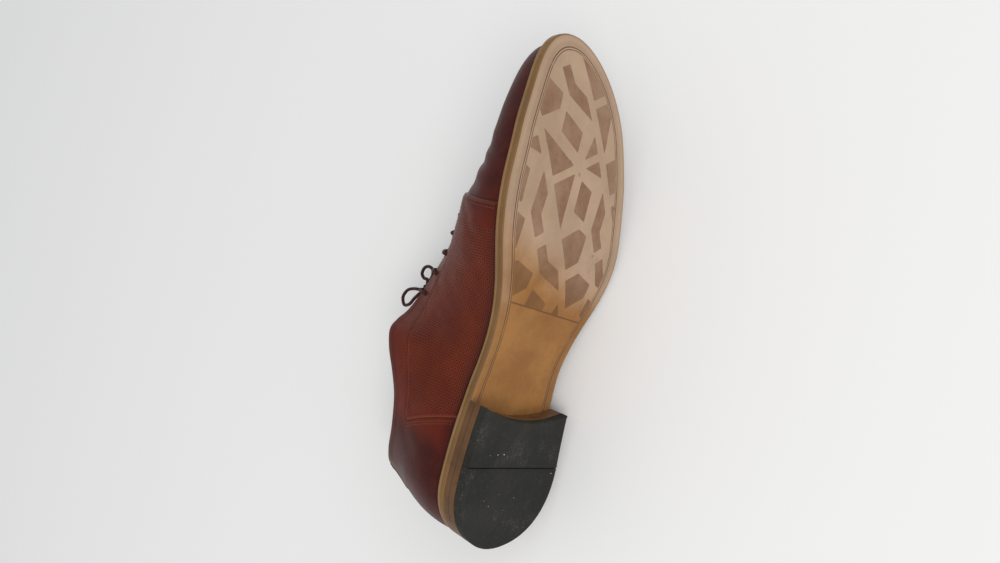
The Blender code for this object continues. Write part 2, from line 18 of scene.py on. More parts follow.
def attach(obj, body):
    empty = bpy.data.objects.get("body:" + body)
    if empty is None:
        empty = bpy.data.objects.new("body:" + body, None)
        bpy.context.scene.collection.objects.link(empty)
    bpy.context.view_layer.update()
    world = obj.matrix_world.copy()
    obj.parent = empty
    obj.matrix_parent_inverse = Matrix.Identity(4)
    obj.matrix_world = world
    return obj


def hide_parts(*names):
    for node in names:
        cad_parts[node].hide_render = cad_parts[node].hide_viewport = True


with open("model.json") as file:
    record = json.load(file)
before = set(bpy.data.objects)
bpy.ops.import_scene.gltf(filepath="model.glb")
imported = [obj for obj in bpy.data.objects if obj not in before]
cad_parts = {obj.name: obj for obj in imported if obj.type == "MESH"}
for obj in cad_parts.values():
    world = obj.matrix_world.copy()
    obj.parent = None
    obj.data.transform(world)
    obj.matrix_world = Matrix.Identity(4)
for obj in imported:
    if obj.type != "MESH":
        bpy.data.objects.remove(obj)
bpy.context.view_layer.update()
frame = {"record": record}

# Driving sizes
LENGTH = 0.295
BALL_WIDTH = 0.106
INSTEP_HEIGHT = 0.080
TOE_SPRING = 0.0106
OUTSOLE_THICK = 0.0034
MIDSOLE_THICK = 0.0020
LIFT_THICK = 0.0084
TOP_PIECE_THICK = 0.0056
INSOLE_THICK = 0.0025
WALL = 0.0020
OVERLAY_STEP = 0.0008
TONGUE_THICK = 0.0018
LACE_RADIUS = 0.0011
KNOT_HALF_SIZE = (0.0034, 0.0042, 0.0026)
EYELET_RADIUS = 0.0017
EYELET_INSET = 0.0085
GAP = 0.0003
HEEL_SEAT_END = 0.305
BALL_START = 0.600
TOE_SPRING_START = 0.730
HEEL_ROUND, HEEL_SQUARENESS = 0.145, 2.2
TOE_ROUND, TOE_SQUARENESS = 0.186, 2.1

# The camera in the shoe's frame: its place, what it looks at, and what is up in the picture
EYE = (0.2060, -0.2814, -0.2339)
AIM = (0.153, -0.010, 0.030)
PICTURE_UP = (0.9769, 0.0328, 0.2112)
LENS_MM, SENSOR_MM = 23.4, 36.0

# The tread's two mounts in the shoe's frame, which place it in the record's frame
HEEL_MOUNT = (0.030, -0.009, 0.0)
BALL_MOUNT = (0.195, 0.008, 0.0)

HeelLine = namedtuple("HeelLine", "lateral medial bow")
BREAST = HeelLine(0.248, 0.302, 0.022)
JOINT = HeelLine(0.133, 0.192, 0.000)

# The sole in plan: its centre line and half width, as shares of BALL_WIDTH
Plan = namedtuple("Plan", "along centre half")
PLAN = [
    Plan(0.00, -0.085, 0.375), Plan(0.14, -0.080, 0.376), Plan(0.245, -0.037, 0.362),
    Plan(0.33, 0.017, 0.348), Plan(0.37, 0.047, 0.353), Plan(0.42, 0.078, 0.374),
    Plan(0.48, 0.103, 0.419), Plan(0.53, 0.105, 0.457), Plan(0.59, 0.092, 0.489),
    Plan(0.65, 0.078, 0.496), Plan(0.72, 0.069, 0.482), Plan(0.80, 0.064, 0.437),
    Plan(0.88, 0.064, 0.388), Plan(1.00, 0.032, 0.350),
]

# How far the upper's lower edge stands in from the sole's edge, and how far the stitched channel
# does under the sole
Inset = namedtuple("Inset", "along depth")
FEATHER = [Inset(0.00, 0.0016), Inset(0.25, 0.0016), Inset(0.45, 0.0022), Inset(0.65, 0.0030),
           Inset(1.00, 0.0036)]
CHANNEL = [Inset(0.00, 0.0062), Inset(0.30, 0.0064), Inset(0.45, 0.0064), Inset(0.62, 0.0078),
           Inset(0.85, 0.0074), Inset(1.00, 0.0070)]

# The sections of the upper, from the toe tip over the throat to the back of the collar
Section = namedtuple("Section", "walk top_x top_h centre gap rise flare reach puff drop")
SECTIONS = [
    Section(1.000, 0.988, 0.000, 0.032, 0.000, 0.55, 0.000, 0.55, 0.00, 0.00),
    Section(0.972, 0.984, 0.110, 0.030, 0.000, 0.55, 0.000, 0.58, 0.00, 0.00),
    Section(0.935, 0.967, 0.220, 0.026, 0.000, 0.60, 0.004, 0.60, 0.00, 0.00),
    Section(0.885, 0.930, 0.318, 0.020, 0.000, 0.62, 0.008, 0.62, 0.00, 0.00),
    Section(0.838, 0.875, 0.393, 0.012, 0.000, 0.62, 0.014, 0.62, 0.00, 0.00),
    Section(0.783, 0.812, 0.450, 0.002, 0.000, 0.60, 0.018, 0.60, 0.00, 0.00),
    Section(0.728, 0.752, 0.525, -0.008, 0.000, 0.58, 0.020, 0.58, 0.00, 0.00),
    Section(0.671, 0.690, 0.668, -0.017, 0.000, 0.56, 0.022, 0.56, 0.00, 0.00),
    Section(0.655, 0.676, 0.692, -0.020, 0.050, 0.55, 0.022, 0.52, 0.00, 0.04),
    Section(0.632, 0.646, 0.728, -0.024, 0.066, 0.54, 0.022, 0.48, 0.00, 0.08),
    Section(0.590, 0.598, 0.805, -0.028, 0.072, 0.52, 0.022, 0.46, 0.00, 0.11),
    Section(0.548, 0.545, 0.885, -0.032, 0.078, 0.50, 0.022, 0.42, 0.00, 0.14),
    Section(0.508, 0.494, 0.965, -0.036, 0.084, 0.48, 0.022, 0.38, 0.01, 0.17),
    Section(0.470, 0.442, 1.050, -0.038, 0.094, 0.46, 0.022, 0.34, 0.01, 0.20),
    Section(0.442, 0.404, 1.105, -0.040, 0.120, 0.44, 0.022, 0.30, 0.02, 0.24),
    Section(0.420, 0.384, 1.095, -0.042, 0.185, 0.42, 0.022, 0.20, 0.03, 0.28),
    Section(0.397, 0.366, 1.040, -0.045, 0.250, 0.40, 0.024, 0.08, 0.04, 0.30),
    Section(0.365, 0.335, 0.930, -0.050, 0.290, 0.38, 0.026, 0.00, 0.04, 0.32),
    Section(0.318, 0.290, 0.815, -0.060, 0.300, 0.36, 0.028, 0.00, 0.04, 0.32),
    Section(0.272, 0.240, 0.750, -0.068, 0.295, 0.36, 0.028, 0.00, 0.04, 0.32),
    Section(0.212, 0.172, 0.760, -0.078, 0.272, 0.36, 0.030, 0.00, 0.04, 0.32),
    Section(0.146, 0.105, 0.850, -0.085, 0.218, 0.36, 0.034, 0.00, 0.04, 0.32),
    Section(0.088, 0.056, 0.945, -0.090, 0.128, 0.36, 0.040, 0.00, 0.04, 0.32),
    Section(0.000, 0.032, 0.975, -0.088, 0.000, 0.36, 0.046, 0.00, 0.04, 0.32),
]
THROAT_FRONT = 7
PANEL_BACK = 19
TAB_EDGE = 22
TAB_FOOT = 0.62
BAND_FOOT = 0.69
PANEL_LEAN = 0.5
SMOOTH_BAND = 0.0105
PANEL_CORNER = 0.0042
PUNCH_PITCH = 0.00205
VAMP_SEAM = (0.0016, 0.0036)
PANEL_SEAM = 0.0014
PANEL_DOTS = (-0.0022, -0.0038)
COLLAR_SEAM = 0.0021
TAB_SEAM = 0.0013
SEAM_PITCH, SEAM_SHARE, SEAM_THREAD_THICK = 0.0021, 0.72, 0.00052
LACE_ROWS = [9.25, 10.05, 10.9, 11.8, 12.75]
TONGUE_FRONT, TONGUE_BACK = 6.35, 13.6
TONGUE_LEVELS = (0.70, 0.85, 0.985)
TipRow = namedtuple("TipRow", "steps width")
TONGUE_TIP = [TipRow(1.0, 0.88), TipRow(1.9, 0.80), TipRow(2.4, 0.62)]

# The free lace: points as shares of LENGTH, BALL_WIDTH and INSTEP_HEIGHT from the knot's centre
CordPoint = namedtuple("CordPoint", "along across up")
BACK_LOOP = [
    CordPoint(-0.003, -0.030, 0.010),
    CordPoint(-0.004, -0.054, 0.020), CordPoint(-0.006, -0.066, 0.090),
    CordPoint(-0.014, -0.072, 0.165), CordPoint(-0.032, -0.078, 0.205),
    CordPoint(-0.047, -0.086, 0.165), CordPoint(-0.042, -0.090, 0.090),
    CordPoint(-0.024, -0.086, 0.030), CordPoint(-0.010, -0.066, -0.006),
    CordPoint(-0.004, -0.032, -0.004),
]
FRONT_LOOP = [
    CordPoint(0.007, -0.014, 0.004),
    CordPoint(0.019, -0.014, 0.010), CordPoint(0.020, -0.012, 0.060),
    CordPoint(0.028, -0.010, 0.095), CordPoint(0.042, -0.010, 0.075),
    CordPoint(0.049, -0.012, 0.000), CordPoint(0.044, -0.014, -0.045),
    CordPoint(0.032, -0.014, -0.050), CordPoint(0.020, -0.012, -0.025),
    CordPoint(0.008, -0.012, -0.010),
]
FRONT_END = [
    CordPoint(0.003, 0.030, -0.004),
    CordPoint(0.006, 0.054, -0.010), CordPoint(0.015, 0.100, -0.060),
    CordPoint(0.021, 0.150, -0.125), CordPoint(0.026, 0.200, -0.190),
    CordPoint(0.031, 0.245, -0.248), CordPoint(0.036, 0.290, -0.315),
]
BACK_END = [
    CordPoint(-0.004, 0.030, 0.000),
    CordPoint(-0.008, 0.054, 0.000), CordPoint(-0.022, 0.110, 0.030),
    CordPoint(-0.034, 0.158, -0.010), CordPoint(-0.041, 0.202, -0.072),
    CordPoint(-0.045, 0.240, -0.136), CordPoint(-0.046, 0.282, -0.215),
]


# The shoe's frame and its surfaces

class Placed:
    """The turn and shift from the shoe's frame to the record's, read from the tread's mounts."""

    def __init__(self, record):
        mounts = {m["name"]: m for m in record["mounts"]}
        heel, ball = (np.array(mounts[n]["pos_m"]) for n in ("heel_tread", "forefoot_tread"))
        up = -np.array(mounts["heel_tread"]["axis"])
        up /= np.linalg.norm(up)
        ahead = (ball - heel) - up * ((ball - heel) @ up)
        ahead /= np.linalg.norm(ahead)
        left = np.cross(up, ahead)
        step = np.subtract(BALL_MOUNT, HEEL_MOUNT)
        turn = math.atan2(step[1], step[0])
        c, s = math.cos(turn), math.sin(turn)
        self.axes = np.column_stack([c * ahead - s * left, s * ahead + c * left, up])
        self.shift = heel - self.axes @ np.array(HEEL_MOUNT)

    def points(self, points):
        return np.asarray(points) @ self.axes.T + self.shift

    def directions(self, vectors):
        return np.asarray(vectors) @ self.axes.T


PLACED = Placed(frame["record"])


def smooth(places, values, query):
    """Cubic curve through the values, each with the slope that its neighbours give it."""
    places, values = np.asarray(places, float), np.asarray(values, float)
    query = np.asarray(query, float)
    slope = np.gradient(values, places, axis=0)
    i = np.clip(np.searchsorted(places, query, side="right") - 1, 0, len(places) - 2)
    span = places[i + 1] - places[i]
    t = (query - places[i]) / span
    t, span = (a.reshape(a.shape + (1,) * (values.ndim - 1)) for a in (t, span))
    return ((2 * t**3 - 3 * t**2 + 1) * values[i] + (t**3 - 2 * t**2 + t) * span * slope[i]
            + (3 * t**2 - 2 * t**3) * values[i + 1] + (t**3 - t**2) * span * slope[i + 1])


def ease(t):
    """An S-shaped step from 0 to 1."""
    t = np.clip(t, 0.0, 1.0)
    return t * t * (3.0 - 2.0 * t)


def under(x):
    """Underside of the outsole: level heel seat, arch down to a level ball, then toe spring."""
    along = np.asarray(x, float) / LENGTH
    stack = TOP_PIECE_THICK + LIFT_THICK + 2 * GAP
    arch = stack * ease((BALL_START - along) / (BALL_START - HEEL_SEAT_END))
    spring = np.clip((along - TOE_SPRING_START) / (1.0 - TOE_SPRING_START), 0.0, None)
    return arch + TOE_SPRING * spring**2


def sole_top(x):
    """Upper face of the midsole."""
    return under(x) + OUTSOLE_THICK + GAP + MIDSOLE_THICK


def plan_half(along):
    """Half width of the sole: the table's curve, rounded off at both ends as a superellipse is."""
    heel = np.clip(1.0 - along / HEEL_ROUND, 0.0, 1.0)
    toe = np.clip(1.0 - (1.0 - along) / TOE_ROUND, 0.0, 1.0)
    rounding = ((1.0 - heel**HEEL_SQUARENESS) ** (1.0 / HEEL_SQUARENESS)
                * (1.0 - toe**TOE_SQUARENESS) ** (1.0 / TOE_SQUARENESS))
    return BALL_WIDTH * smooth([p.along for p in PLAN], [p.half for p in PLAN], along) * rounding


def plan_centre(along):
    """Centre line of the sole in plan."""
    return BALL_WIDTH * smooth([p.along for p in PLAN], [p.centre for p in PLAN], along)


def inset_depth(insets, along):
    """Smooth curve through a table of insets."""
    return smooth([i.along for i in insets], [i.depth for i in insets], along)


def sole_side(side, insets=None, extra=0.0, count=361, crowd=1.0):
    """One side of the sole's outline, heel to toe, moved in: points, outward normals, walk.

    The stations mix an even step with a cosine one, which crowds them at both ends.
    """
    t = np.linspace(0.0, 1.0, count)
    along = crowd * (1.0 - np.cos(np.pi * t)) / 2.0 + (1.0 - crowd) * t
    points = np.c_[along * LENGTH, plan_centre(along) + side * plan_half(along)]
    tangent = np.gradient(points, axis=0)
    tangent[0], tangent[-1] = (0.0, side), (0.0, -side)
    tangent /= np.linalg.norm(tangent, axis=1)[:, None]
    normal = side * np.c_[-tangent[:, 1], tangent[:, 0]]
    depth = np.full(count, extra)
    if insets:
        depth += inset_depth(insets, along)
    points = points - normal * depth[:, None]
    walk = np.r_[0.0, np.cumsum(np.linalg.norm(np.diff(points, axis=0), axis=1))]
    return points, normal, walk / walk[-1]


FEATHER_EDGE = {side: sole_side(side, FEATHER) for side in (1, -1)}
TABLE = np.array(SECTIONS, float)


def section_handles(place, side):
    """The four Bezier points of the upper's section at each place along the table."""
    row = Section(*smooth(np.arange(len(TABLE)), TABLE, place).T)
    points, normals, walk = FEATHER_EDGE[side]
    share = np.clip(row.walk, 0.0, 1.0)
    foot = np.column_stack([np.interp(share, walk, points[:, k]) for k in (0, 1)])
    out = np.column_stack([np.interp(share, walk, normals[:, k]) for k in (0, 1)])
    out = np.c_[out / np.linalg.norm(out, axis=1)[:, None], np.zeros(len(share))]
    floor = sole_top(foot[:, 0]) + GAP
    top = np.c_[row.top_x * LENGTH,
                (row.centre + side * np.clip(row.gap, 0.0, None)) * BALL_WIDTH,
                floor + np.clip(row.top_h, 0.0, None) * INSTEP_HEIGHT]
    foot = np.c_[foot, floor]
    tip = place < 1e-6
    top[tip] = foot[tip]
    height = (top[:, 2] - floor)[:, None]
    rise = np.array([0.0, 0.0, 1.0]) * height
    low = foot + rise * row.rise[:, None] + out * (row.flare * BALL_WIDTH)[:, None]
    high = top - rise * row.drop[:, None] + out * (row.puff * BALL_WIDTH)[:, None]
    high[:, 1] += side * row.reach * np.abs(top[:, 1] - foot[:, 1])
    return foot, low, high, top


def upper_surface(place, level, side):
    """Points of the last's surface, places by levels: a cubic Bezier curve up each section."""
    foot, low, high, top = (h[:, None, :] for h in section_handles(np.asarray(place), side))
    v = np.asarray(level, float)[None, :, None]
    return ((1 - v)**3 * foot + 3 * v * (1 - v)**2 * low + 3 * v**2 * (1 - v) * high
            + v**3 * top)


def upper_normal(place, level, side):
    """Outward unit normals of the last's surface, from its slopes along and up."""
    d = 1e-3
    last = len(TABLE) - 1.0
    p0, p1 = np.clip(place - d, 0.0, last), np.clip(place + d, 0.0, last)
    v0, v1 = np.clip(level - d, 0.0, 1.0), np.clip(level + d, 0.0, 1.0)
    along = upper_surface(p1, level, side) - upper_surface(p0, level, side)
    up = upper_surface(place, v1, side) - upper_surface(place, v0, side)
    normal = side * np.cross(along, up)
    return normal / np.linalg.norm(normal, axis=2)[:, :, None]


# Meshes from arrays

def grid_quads(rows, columns, first=0, wrap=False):
    """Corner numbers of the quads between neighbouring rows and columns of a grid."""
    i, j = np.meshgrid(np.arange(rows - 1), np.arange(columns - (0 if wrap else 1)),
                       indexing="ij")
    k = (j + 1) % columns
    corners = (i * columns + j, i * columns + k, (i + 1) * columns + k, (i + 1) * columns + j)
    return first + np.stack(corners, axis=-1).reshape(-1, 4)


def weld(points, faces):
    """Points that share a place become one. Returns the first of each, and the faces' corners."""
    keys, first, back = np.unique(np.round(points, 7), axis=0, return_index=True,
                                  return_inverse=True)
    return first, np.ravel(back)[faces]


def make_piece(name, points, faces, finishes, kinds=None, fields=None, charts=None,
               sharp=38.0, node=None):
    """A finished piece from welded quads, placed in the record's frame and riding on the body.

    kinds picks a finish for each face, fields are numbers at the points and charts are pairs of
    numbers at the points, kept as attributes and UV maps.
    """
    points, faces = np.asarray(points, float), np.asarray(faces)
    first, faces = weld(points, faces)
    kinds = np.zeros(len(faces), int) if kinds is None else np.asarray(kinds)
    same = faces == np.roll(faces, -1, axis=1)
    kept = same.sum(axis=1) <= 1
    faces, same, kinds = faces[kept], same[kept], kinds[kept]
    flat = same.any(axis=1)
    loops = [list(f) for f in faces[~flat].tolist()]
    for corners, double in zip(faces[flat].tolist(), same[flat].tolist()):
        loops.append([c for c, d in zip(corners, double) if not d])
    kinds = list(kinds[~flat]) + list(kinds[flat])
    mesh = bpy.data.meshes.new(name)
    mesh.from_pydata(PLACED.points(points[first]), [], loops)
    mesh.validate(clean_customdata=False)
    for finish in finishes:
        mesh.materials.append(finish)
    if len(finishes) > 1:
        mesh.polygons.foreach_set("material_index", np.array(kinds, np.int32))
    for label, values in (fields or {}).items():
        attribute = mesh.attributes.new(label, "FLOAT", "POINT")
        attribute.data.foreach_set("value", np.ravel(values)[first].astype(np.float32))
    corner = np.zeros(len(mesh.loops), np.int32)
    mesh.loops.foreach_get("vertex_index", corner)
    for label, values in (charts or {}).items():
        chart = mesh.uv_layers.new(name=label)
        flat_uv = np.asarray(values).reshape(-1, 2)[first][corner]
        chart.data.foreach_set("uv", flat_uv.astype(np.float32).ravel())
    return ride_along(name, mesh, sharp, node)


def ride_along(name, mesh, sharp, node):
    """A finished mesh as a smooth piece on the body, its faces outwards, in a node's place."""
    bm = bmesh.new()
    bm.from_mesh(mesh)
    bmesh.ops.recalc_face_normals(bm, faces=bm.faces)
    bm.to_mesh(mesh)
    bm.free()
    mesh.shade_smooth()
    mesh.set_sharp_from_angle(angle=math.radians(sharp))
    piece = bpy.data.objects.new(name, mesh)
    bpy.context.scene.collection.objects.link(piece)
    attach(piece, "root")
    if node:
        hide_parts(node)
    return piece


def tubes(paths, normals, radii, sides):
    """Round tubes along several paths at once: each point's ring stands across the path.

    paths and normals are tubes by stations by xyz, radii is tubes by stations. A ring's points
    are radius * (cos a * normal + sin a * binormal). Returns points, quads, caps and the UV.
    """
    paths, normals, radii = (np.asarray(a, float) for a in (paths, normals, radii))
    tangent = np.gradient(paths, axis=1)
    tangent /= np.linalg.norm(tangent, axis=2)[..., None]
    normals = normals - tangent * (normals * tangent).sum(axis=2)[..., None]
    normals /= np.linalg.norm(normals, axis=2)[..., None]
    binormal = np.cross(tangent, normals)
    angle = np.linspace(0.0, 2 * np.pi, sides, endpoint=False)
    ring = (np.cos(angle)[:, None] * normals[:, :, None, :]
            + np.sin(angle)[:, None] * binormal[:, :, None, :])
    points = paths[:, :, None, :] + radii[:, :, None, None] * ring
    count, stations = paths.shape[:2]
    one = grid_quads(stations, sides, 0, wrap=True)
    faces = (one[None] + (np.arange(count) * stations * sides)[:, None, None]).reshape(-1, 4)
    run = np.concatenate([np.zeros((count, 1)), np.cumsum(
        np.linalg.norm(np.diff(paths, axis=1), axis=2), axis=1)], axis=1)
    chart = np.stack(np.broadcast_arrays((angle / (2 * np.pi))[None, None, :],
                                         run[:, :, None]), axis=-1)
    first = np.arange(count)[:, None] * stations * sides
    ends = np.concatenate([first + np.arange(sides)[::-1],
                           first + (stations - 1) * sides + np.arange(sides)])
    return points.reshape(-1, 3), faces, ends, chart.reshape(-1, 2)


def make_tubes(name, paths, normals, radii, sides, finish, node=None):
    """A piece made of tubes, each closed by a face at both ends."""
    points, faces, ends, chart = tubes(paths, normals, radii, sides)
    mesh = bpy.data.meshes.new(name)
    mesh.from_pydata(PLACED.points(points), [], faces.tolist() + ends.tolist())
    corner = np.zeros(len(mesh.loops), np.int32)
    mesh.loops.foreach_get("vertex_index", corner)
    layer = mesh.uv_layers.new(name="thread")
    layer.data.foreach_set("uv", chart[corner].astype(np.float32).ravel())
    mesh.materials.append(finish)
    return ride_along(name, mesh, 50.0, node)


# Finishes

class Finish:
    """A material in the making: it adds nodes, links them and sets the shader's sockets."""

    def __init__(self, name):
        self.material = bpy.data.materials.new(name)
        self.material.use_nodes = True
        self.tree = self.material.node_tree
        self.shader = self.tree.nodes["Principled BSDF"]
        self.place = self.add("ShaderNodeTexCoord").outputs["Object"]

    def add(self, kind, inputs=None, **settings):
        node = self.tree.nodes.new(kind)
        for key, value in settings.items():
            setattr(node, key, value)
        for key, value in (inputs or {}).items():
            self.put(node.inputs[key], value)
        return node

    def put(self, socket, value):
        if isinstance(value, bpy.types.NodeSocket):
            self.tree.links.new(value, socket)
        else:
            socket.default_value = value

    def set(self, **values):
        for key, value in values.items():
            self.put(self.shader.inputs[key.replace("_", " ")], value)

    def math(self, operation, a, b=0.0, c=0.0, clamp=False):
        node = self.add("ShaderNodeMath", operation=operation, use_clamp=clamp)
        for socket, value in zip(node.inputs, (a, b, c)):
            self.put(socket, value)
        return node.outputs[0]

    def field(self, name):
        return self.add("ShaderNodeAttribute", attribute_name=name).outputs["Fac"]

    def noise(self, scale, detail=4.0, rough=0.55, vector=None, distort=0.0):
        return self.add("ShaderNodeTexNoise", {
            "Vector": self.place if vector is None else vector, "Scale": scale,
            "Detail": detail, "Roughness": rough, "Distortion": distort}).outputs["Fac"]

    def cells(self, scale, feature="F1"):
        node = self.add("ShaderNodeTexVoronoi", feature=feature)
        self.put(node.inputs["Vector"], self.place)
        self.put(node.inputs["Scale"], scale)
        return node.outputs["Distance"]

    def step(self, value, low, high, to_low=0.0, to_high=1.0):
        """An S-shaped change from to_low to to_high as value goes from low to high."""
        return self.add("ShaderNodeMapRange", {
            "Value": value, "From Min": low, "From Max": high, "To Min": to_low,
            "To Max": to_high}, interpolation_type="SMOOTHSTEP").outputs["Result"]

    def mix(self, share, a, b, blend="MIX"):
        node = self.add("ShaderNodeMix", data_type="RGBA", blend_type=blend)
        self.put(node.inputs[0], share)
        self.put(node.inputs[6], a)
        self.put(node.inputs[7], b)
        return node.outputs[2]

    def line(self, value, centre, half, soft):
        """1 along a line where value is within half of centre, fading over soft."""
        away = self.math("ABSOLUTE", self.math("SUBTRACT", value, centre))
        return self.step(away, half, half + soft, 1.0, 0.0)

    def relief(self, *layers):
        """Bump nodes one after the other, from pairs of a height and its size in metres."""
        normal = None
        for height, size in layers:
            node = self.add("ShaderNodeBump", {"Height": height, "Distance": size,
                                               "Strength": 1.0})
            if normal is not None:
                self.put(node.inputs["Normal"], normal)
            normal = node.outputs["Normal"]
        self.set(Normal=normal)


def rgb(r, g, b):
    return (r, g, b, 1.0)


def chart_xy(finish, name):
    """The two numbers of a UV map, which are metres on the piece."""
    uv = finish.add("ShaderNodeUVMap", uv_map=name).outputs["UV"]
    split = finish.add("ShaderNodeSeparateXYZ", {"Vector": uv})
    return split.outputs["X"], split.outputs["Y"]


def upper_leather():
    """Polished calf: orange-brown quarters, darker towards toe, vamp and heel, punched panels.
    The darkening is antique burnish and painted shade.

    The punched holes are a square grid of dots turned by half a right angle, read in the panel's
    own chart, whose numbers are metres along and up the side. The holes are filled with painted
    shade and ringed by a painted highlight.
    """
    f = Finish("polished brown leather")
    burnish, panel = f.field("burnish"), f.field("panel")
    u, v = chart_xy(f, "side")
    across = f.math("ADD", u, v)
    down = f.math("SUBTRACT", u, v)
    cell = []
    for line in (across, down):
        run = f.math("DIVIDE", line, PUNCH_PITCH * math.sqrt(2.0))
        cell.append(f.math("SUBTRACT", f.math("FRACT", run), 0.5))
    away = f.math("SQRT", f.math("ADD", f.math("MULTIPLY", cell[0], cell[0]),
                                 f.math("MULTIPLY", cell[1], cell[1])))
    punched = f.step(panel, 0.0030, 0.0034)
    # Painted shade fills each hole, and a painted highlight rings it.
    hole = f.math("MULTIPLY", f.step(away, 0.17, 0.27, 1.0, 0.0), punched)
    rim = f.math("MULTIPLY", f.line(away, 0.32, 0.05, 0.10), punched)

    cloudy = f.noise(38.0, 5.0, 0.6)
    blotch = f.noise(110.0, 4.0, 0.6)
    fine = f.noise(900.0, 3.0, 0.6)
    tone = f.mix(f.step(cloudy, 0.35, 0.68), rgb(0.118, 0.0125, 0.0040), rgb(0.168, 0.0215, 0.0064))
    tone = f.mix(f.step(blotch, 0.45, 0.75, 0.0, 0.35), tone, rgb(0.078, 0.0085, 0.0042))
    dark = f.mix(f.step(blotch, 0.35, 0.7), rgb(0.050, 0.0066, 0.0046), rgb(0.078, 0.0105, 0.0066))
    # Darker at toe, heel, collar and along the sole: antique burnish and painted shade.
    uneven = f.math("ADD", burnish, f.math("MULTIPLY", f.math("SUBTRACT", cloudy, 0.5), 0.5))
    tone = f.mix(f.step(uneven, 0.05, 0.95), tone, dark)
    # A painted highlight round each hole, then painted shade in the holes.
    tone = f.mix(f.math("MULTIPLY", rim, 0.30), tone, rgb(0.30, 0.085, 0.040))
    tone = f.mix(f.math("MULTIPLY", hole, 0.88), tone, rgb(0.016, 0.004, 0.003))
    # Painted shade at the foot of each cut edge and along the welt.
    groove = f.field("groove")
    tone = f.mix(f.math("MULTIPLY", groove, 0.75), tone, rgb(0.018, 0.005, 0.004))
    # Painted highlight on the shoulder of each cut edge and of the collar.
    worn = f.field("edge")
    tone = f.mix(f.math("MULTIPLY", worn, 0.35), tone, rgb(0.34, 0.105, 0.045))
    scuff_at = f.noise(70.0, 8.0, 0.72, distort=0.6)
    scuffs = f.math("MULTIPLY", f.step(scuff_at, 0.66, 0.74), f.step(fine, 0.45, 0.60))
    tone = f.mix(f.math("MULTIPLY", scuffs, 0.30), tone, rgb(0.26, 0.10, 0.065))
    f.set(Base_Color=tone)
    gloss = f.step(f.noise(55.0, 6.0, 0.65), 0.3, 0.75, 0.36, 0.50)
    f.set(Roughness=f.math("ADD", gloss, f.math("MULTIPLY", f.math("ADD", hole, scuffs), 0.25)))
    f.set(Specular_IOR_Level=0.10, Coat_Weight=0.03, Coat_Roughness=0.22, Coat_IOR=1.45)
    pores = f.cells(1500.0, "F1")
    grain = f.cells(1050.0, "DISTANCE_TO_EDGE")
    f.relief((f.noise(28.0, 3.0, 0.5), 0.0009), (grain, 0.00010), (pores, 0.00004),
             (f.math("SUBTRACT", f.math("MULTIPLY", rim, 0.35), hole), 0.00045),
             (f.math("MULTIPLY", scuffs, -1.0), 0.00008))
    return f.material


def lining_leather():
    """Smooth tan lining, darker and shinier where a foot has rubbed it."""
    f = Finish("tan lining leather")
    wide = f.noise(30.0, 4.0, 0.6)
    tone = f.mix(f.step(wide, 0.3, 0.7), rgb(0.40, 0.235, 0.125), rgb(0.30, 0.165, 0.083))
    tone = f.mix(f.step(f.noise(180.0, 5.0, 0.6), 0.5, 0.8, 0.0, 0.4), tone,
                 rgb(0.22, 0.115, 0.06))
    f.set(Base_Color=tone, Roughness=f.step(wide, 0.3, 0.7, 0.62, 0.5))
    f.relief((f.noise(160.0, 4.0, 0.5), 0.0003), (f.cells(1500.0, "DISTANCE_TO_EDGE"), 0.00007))
    return f.material


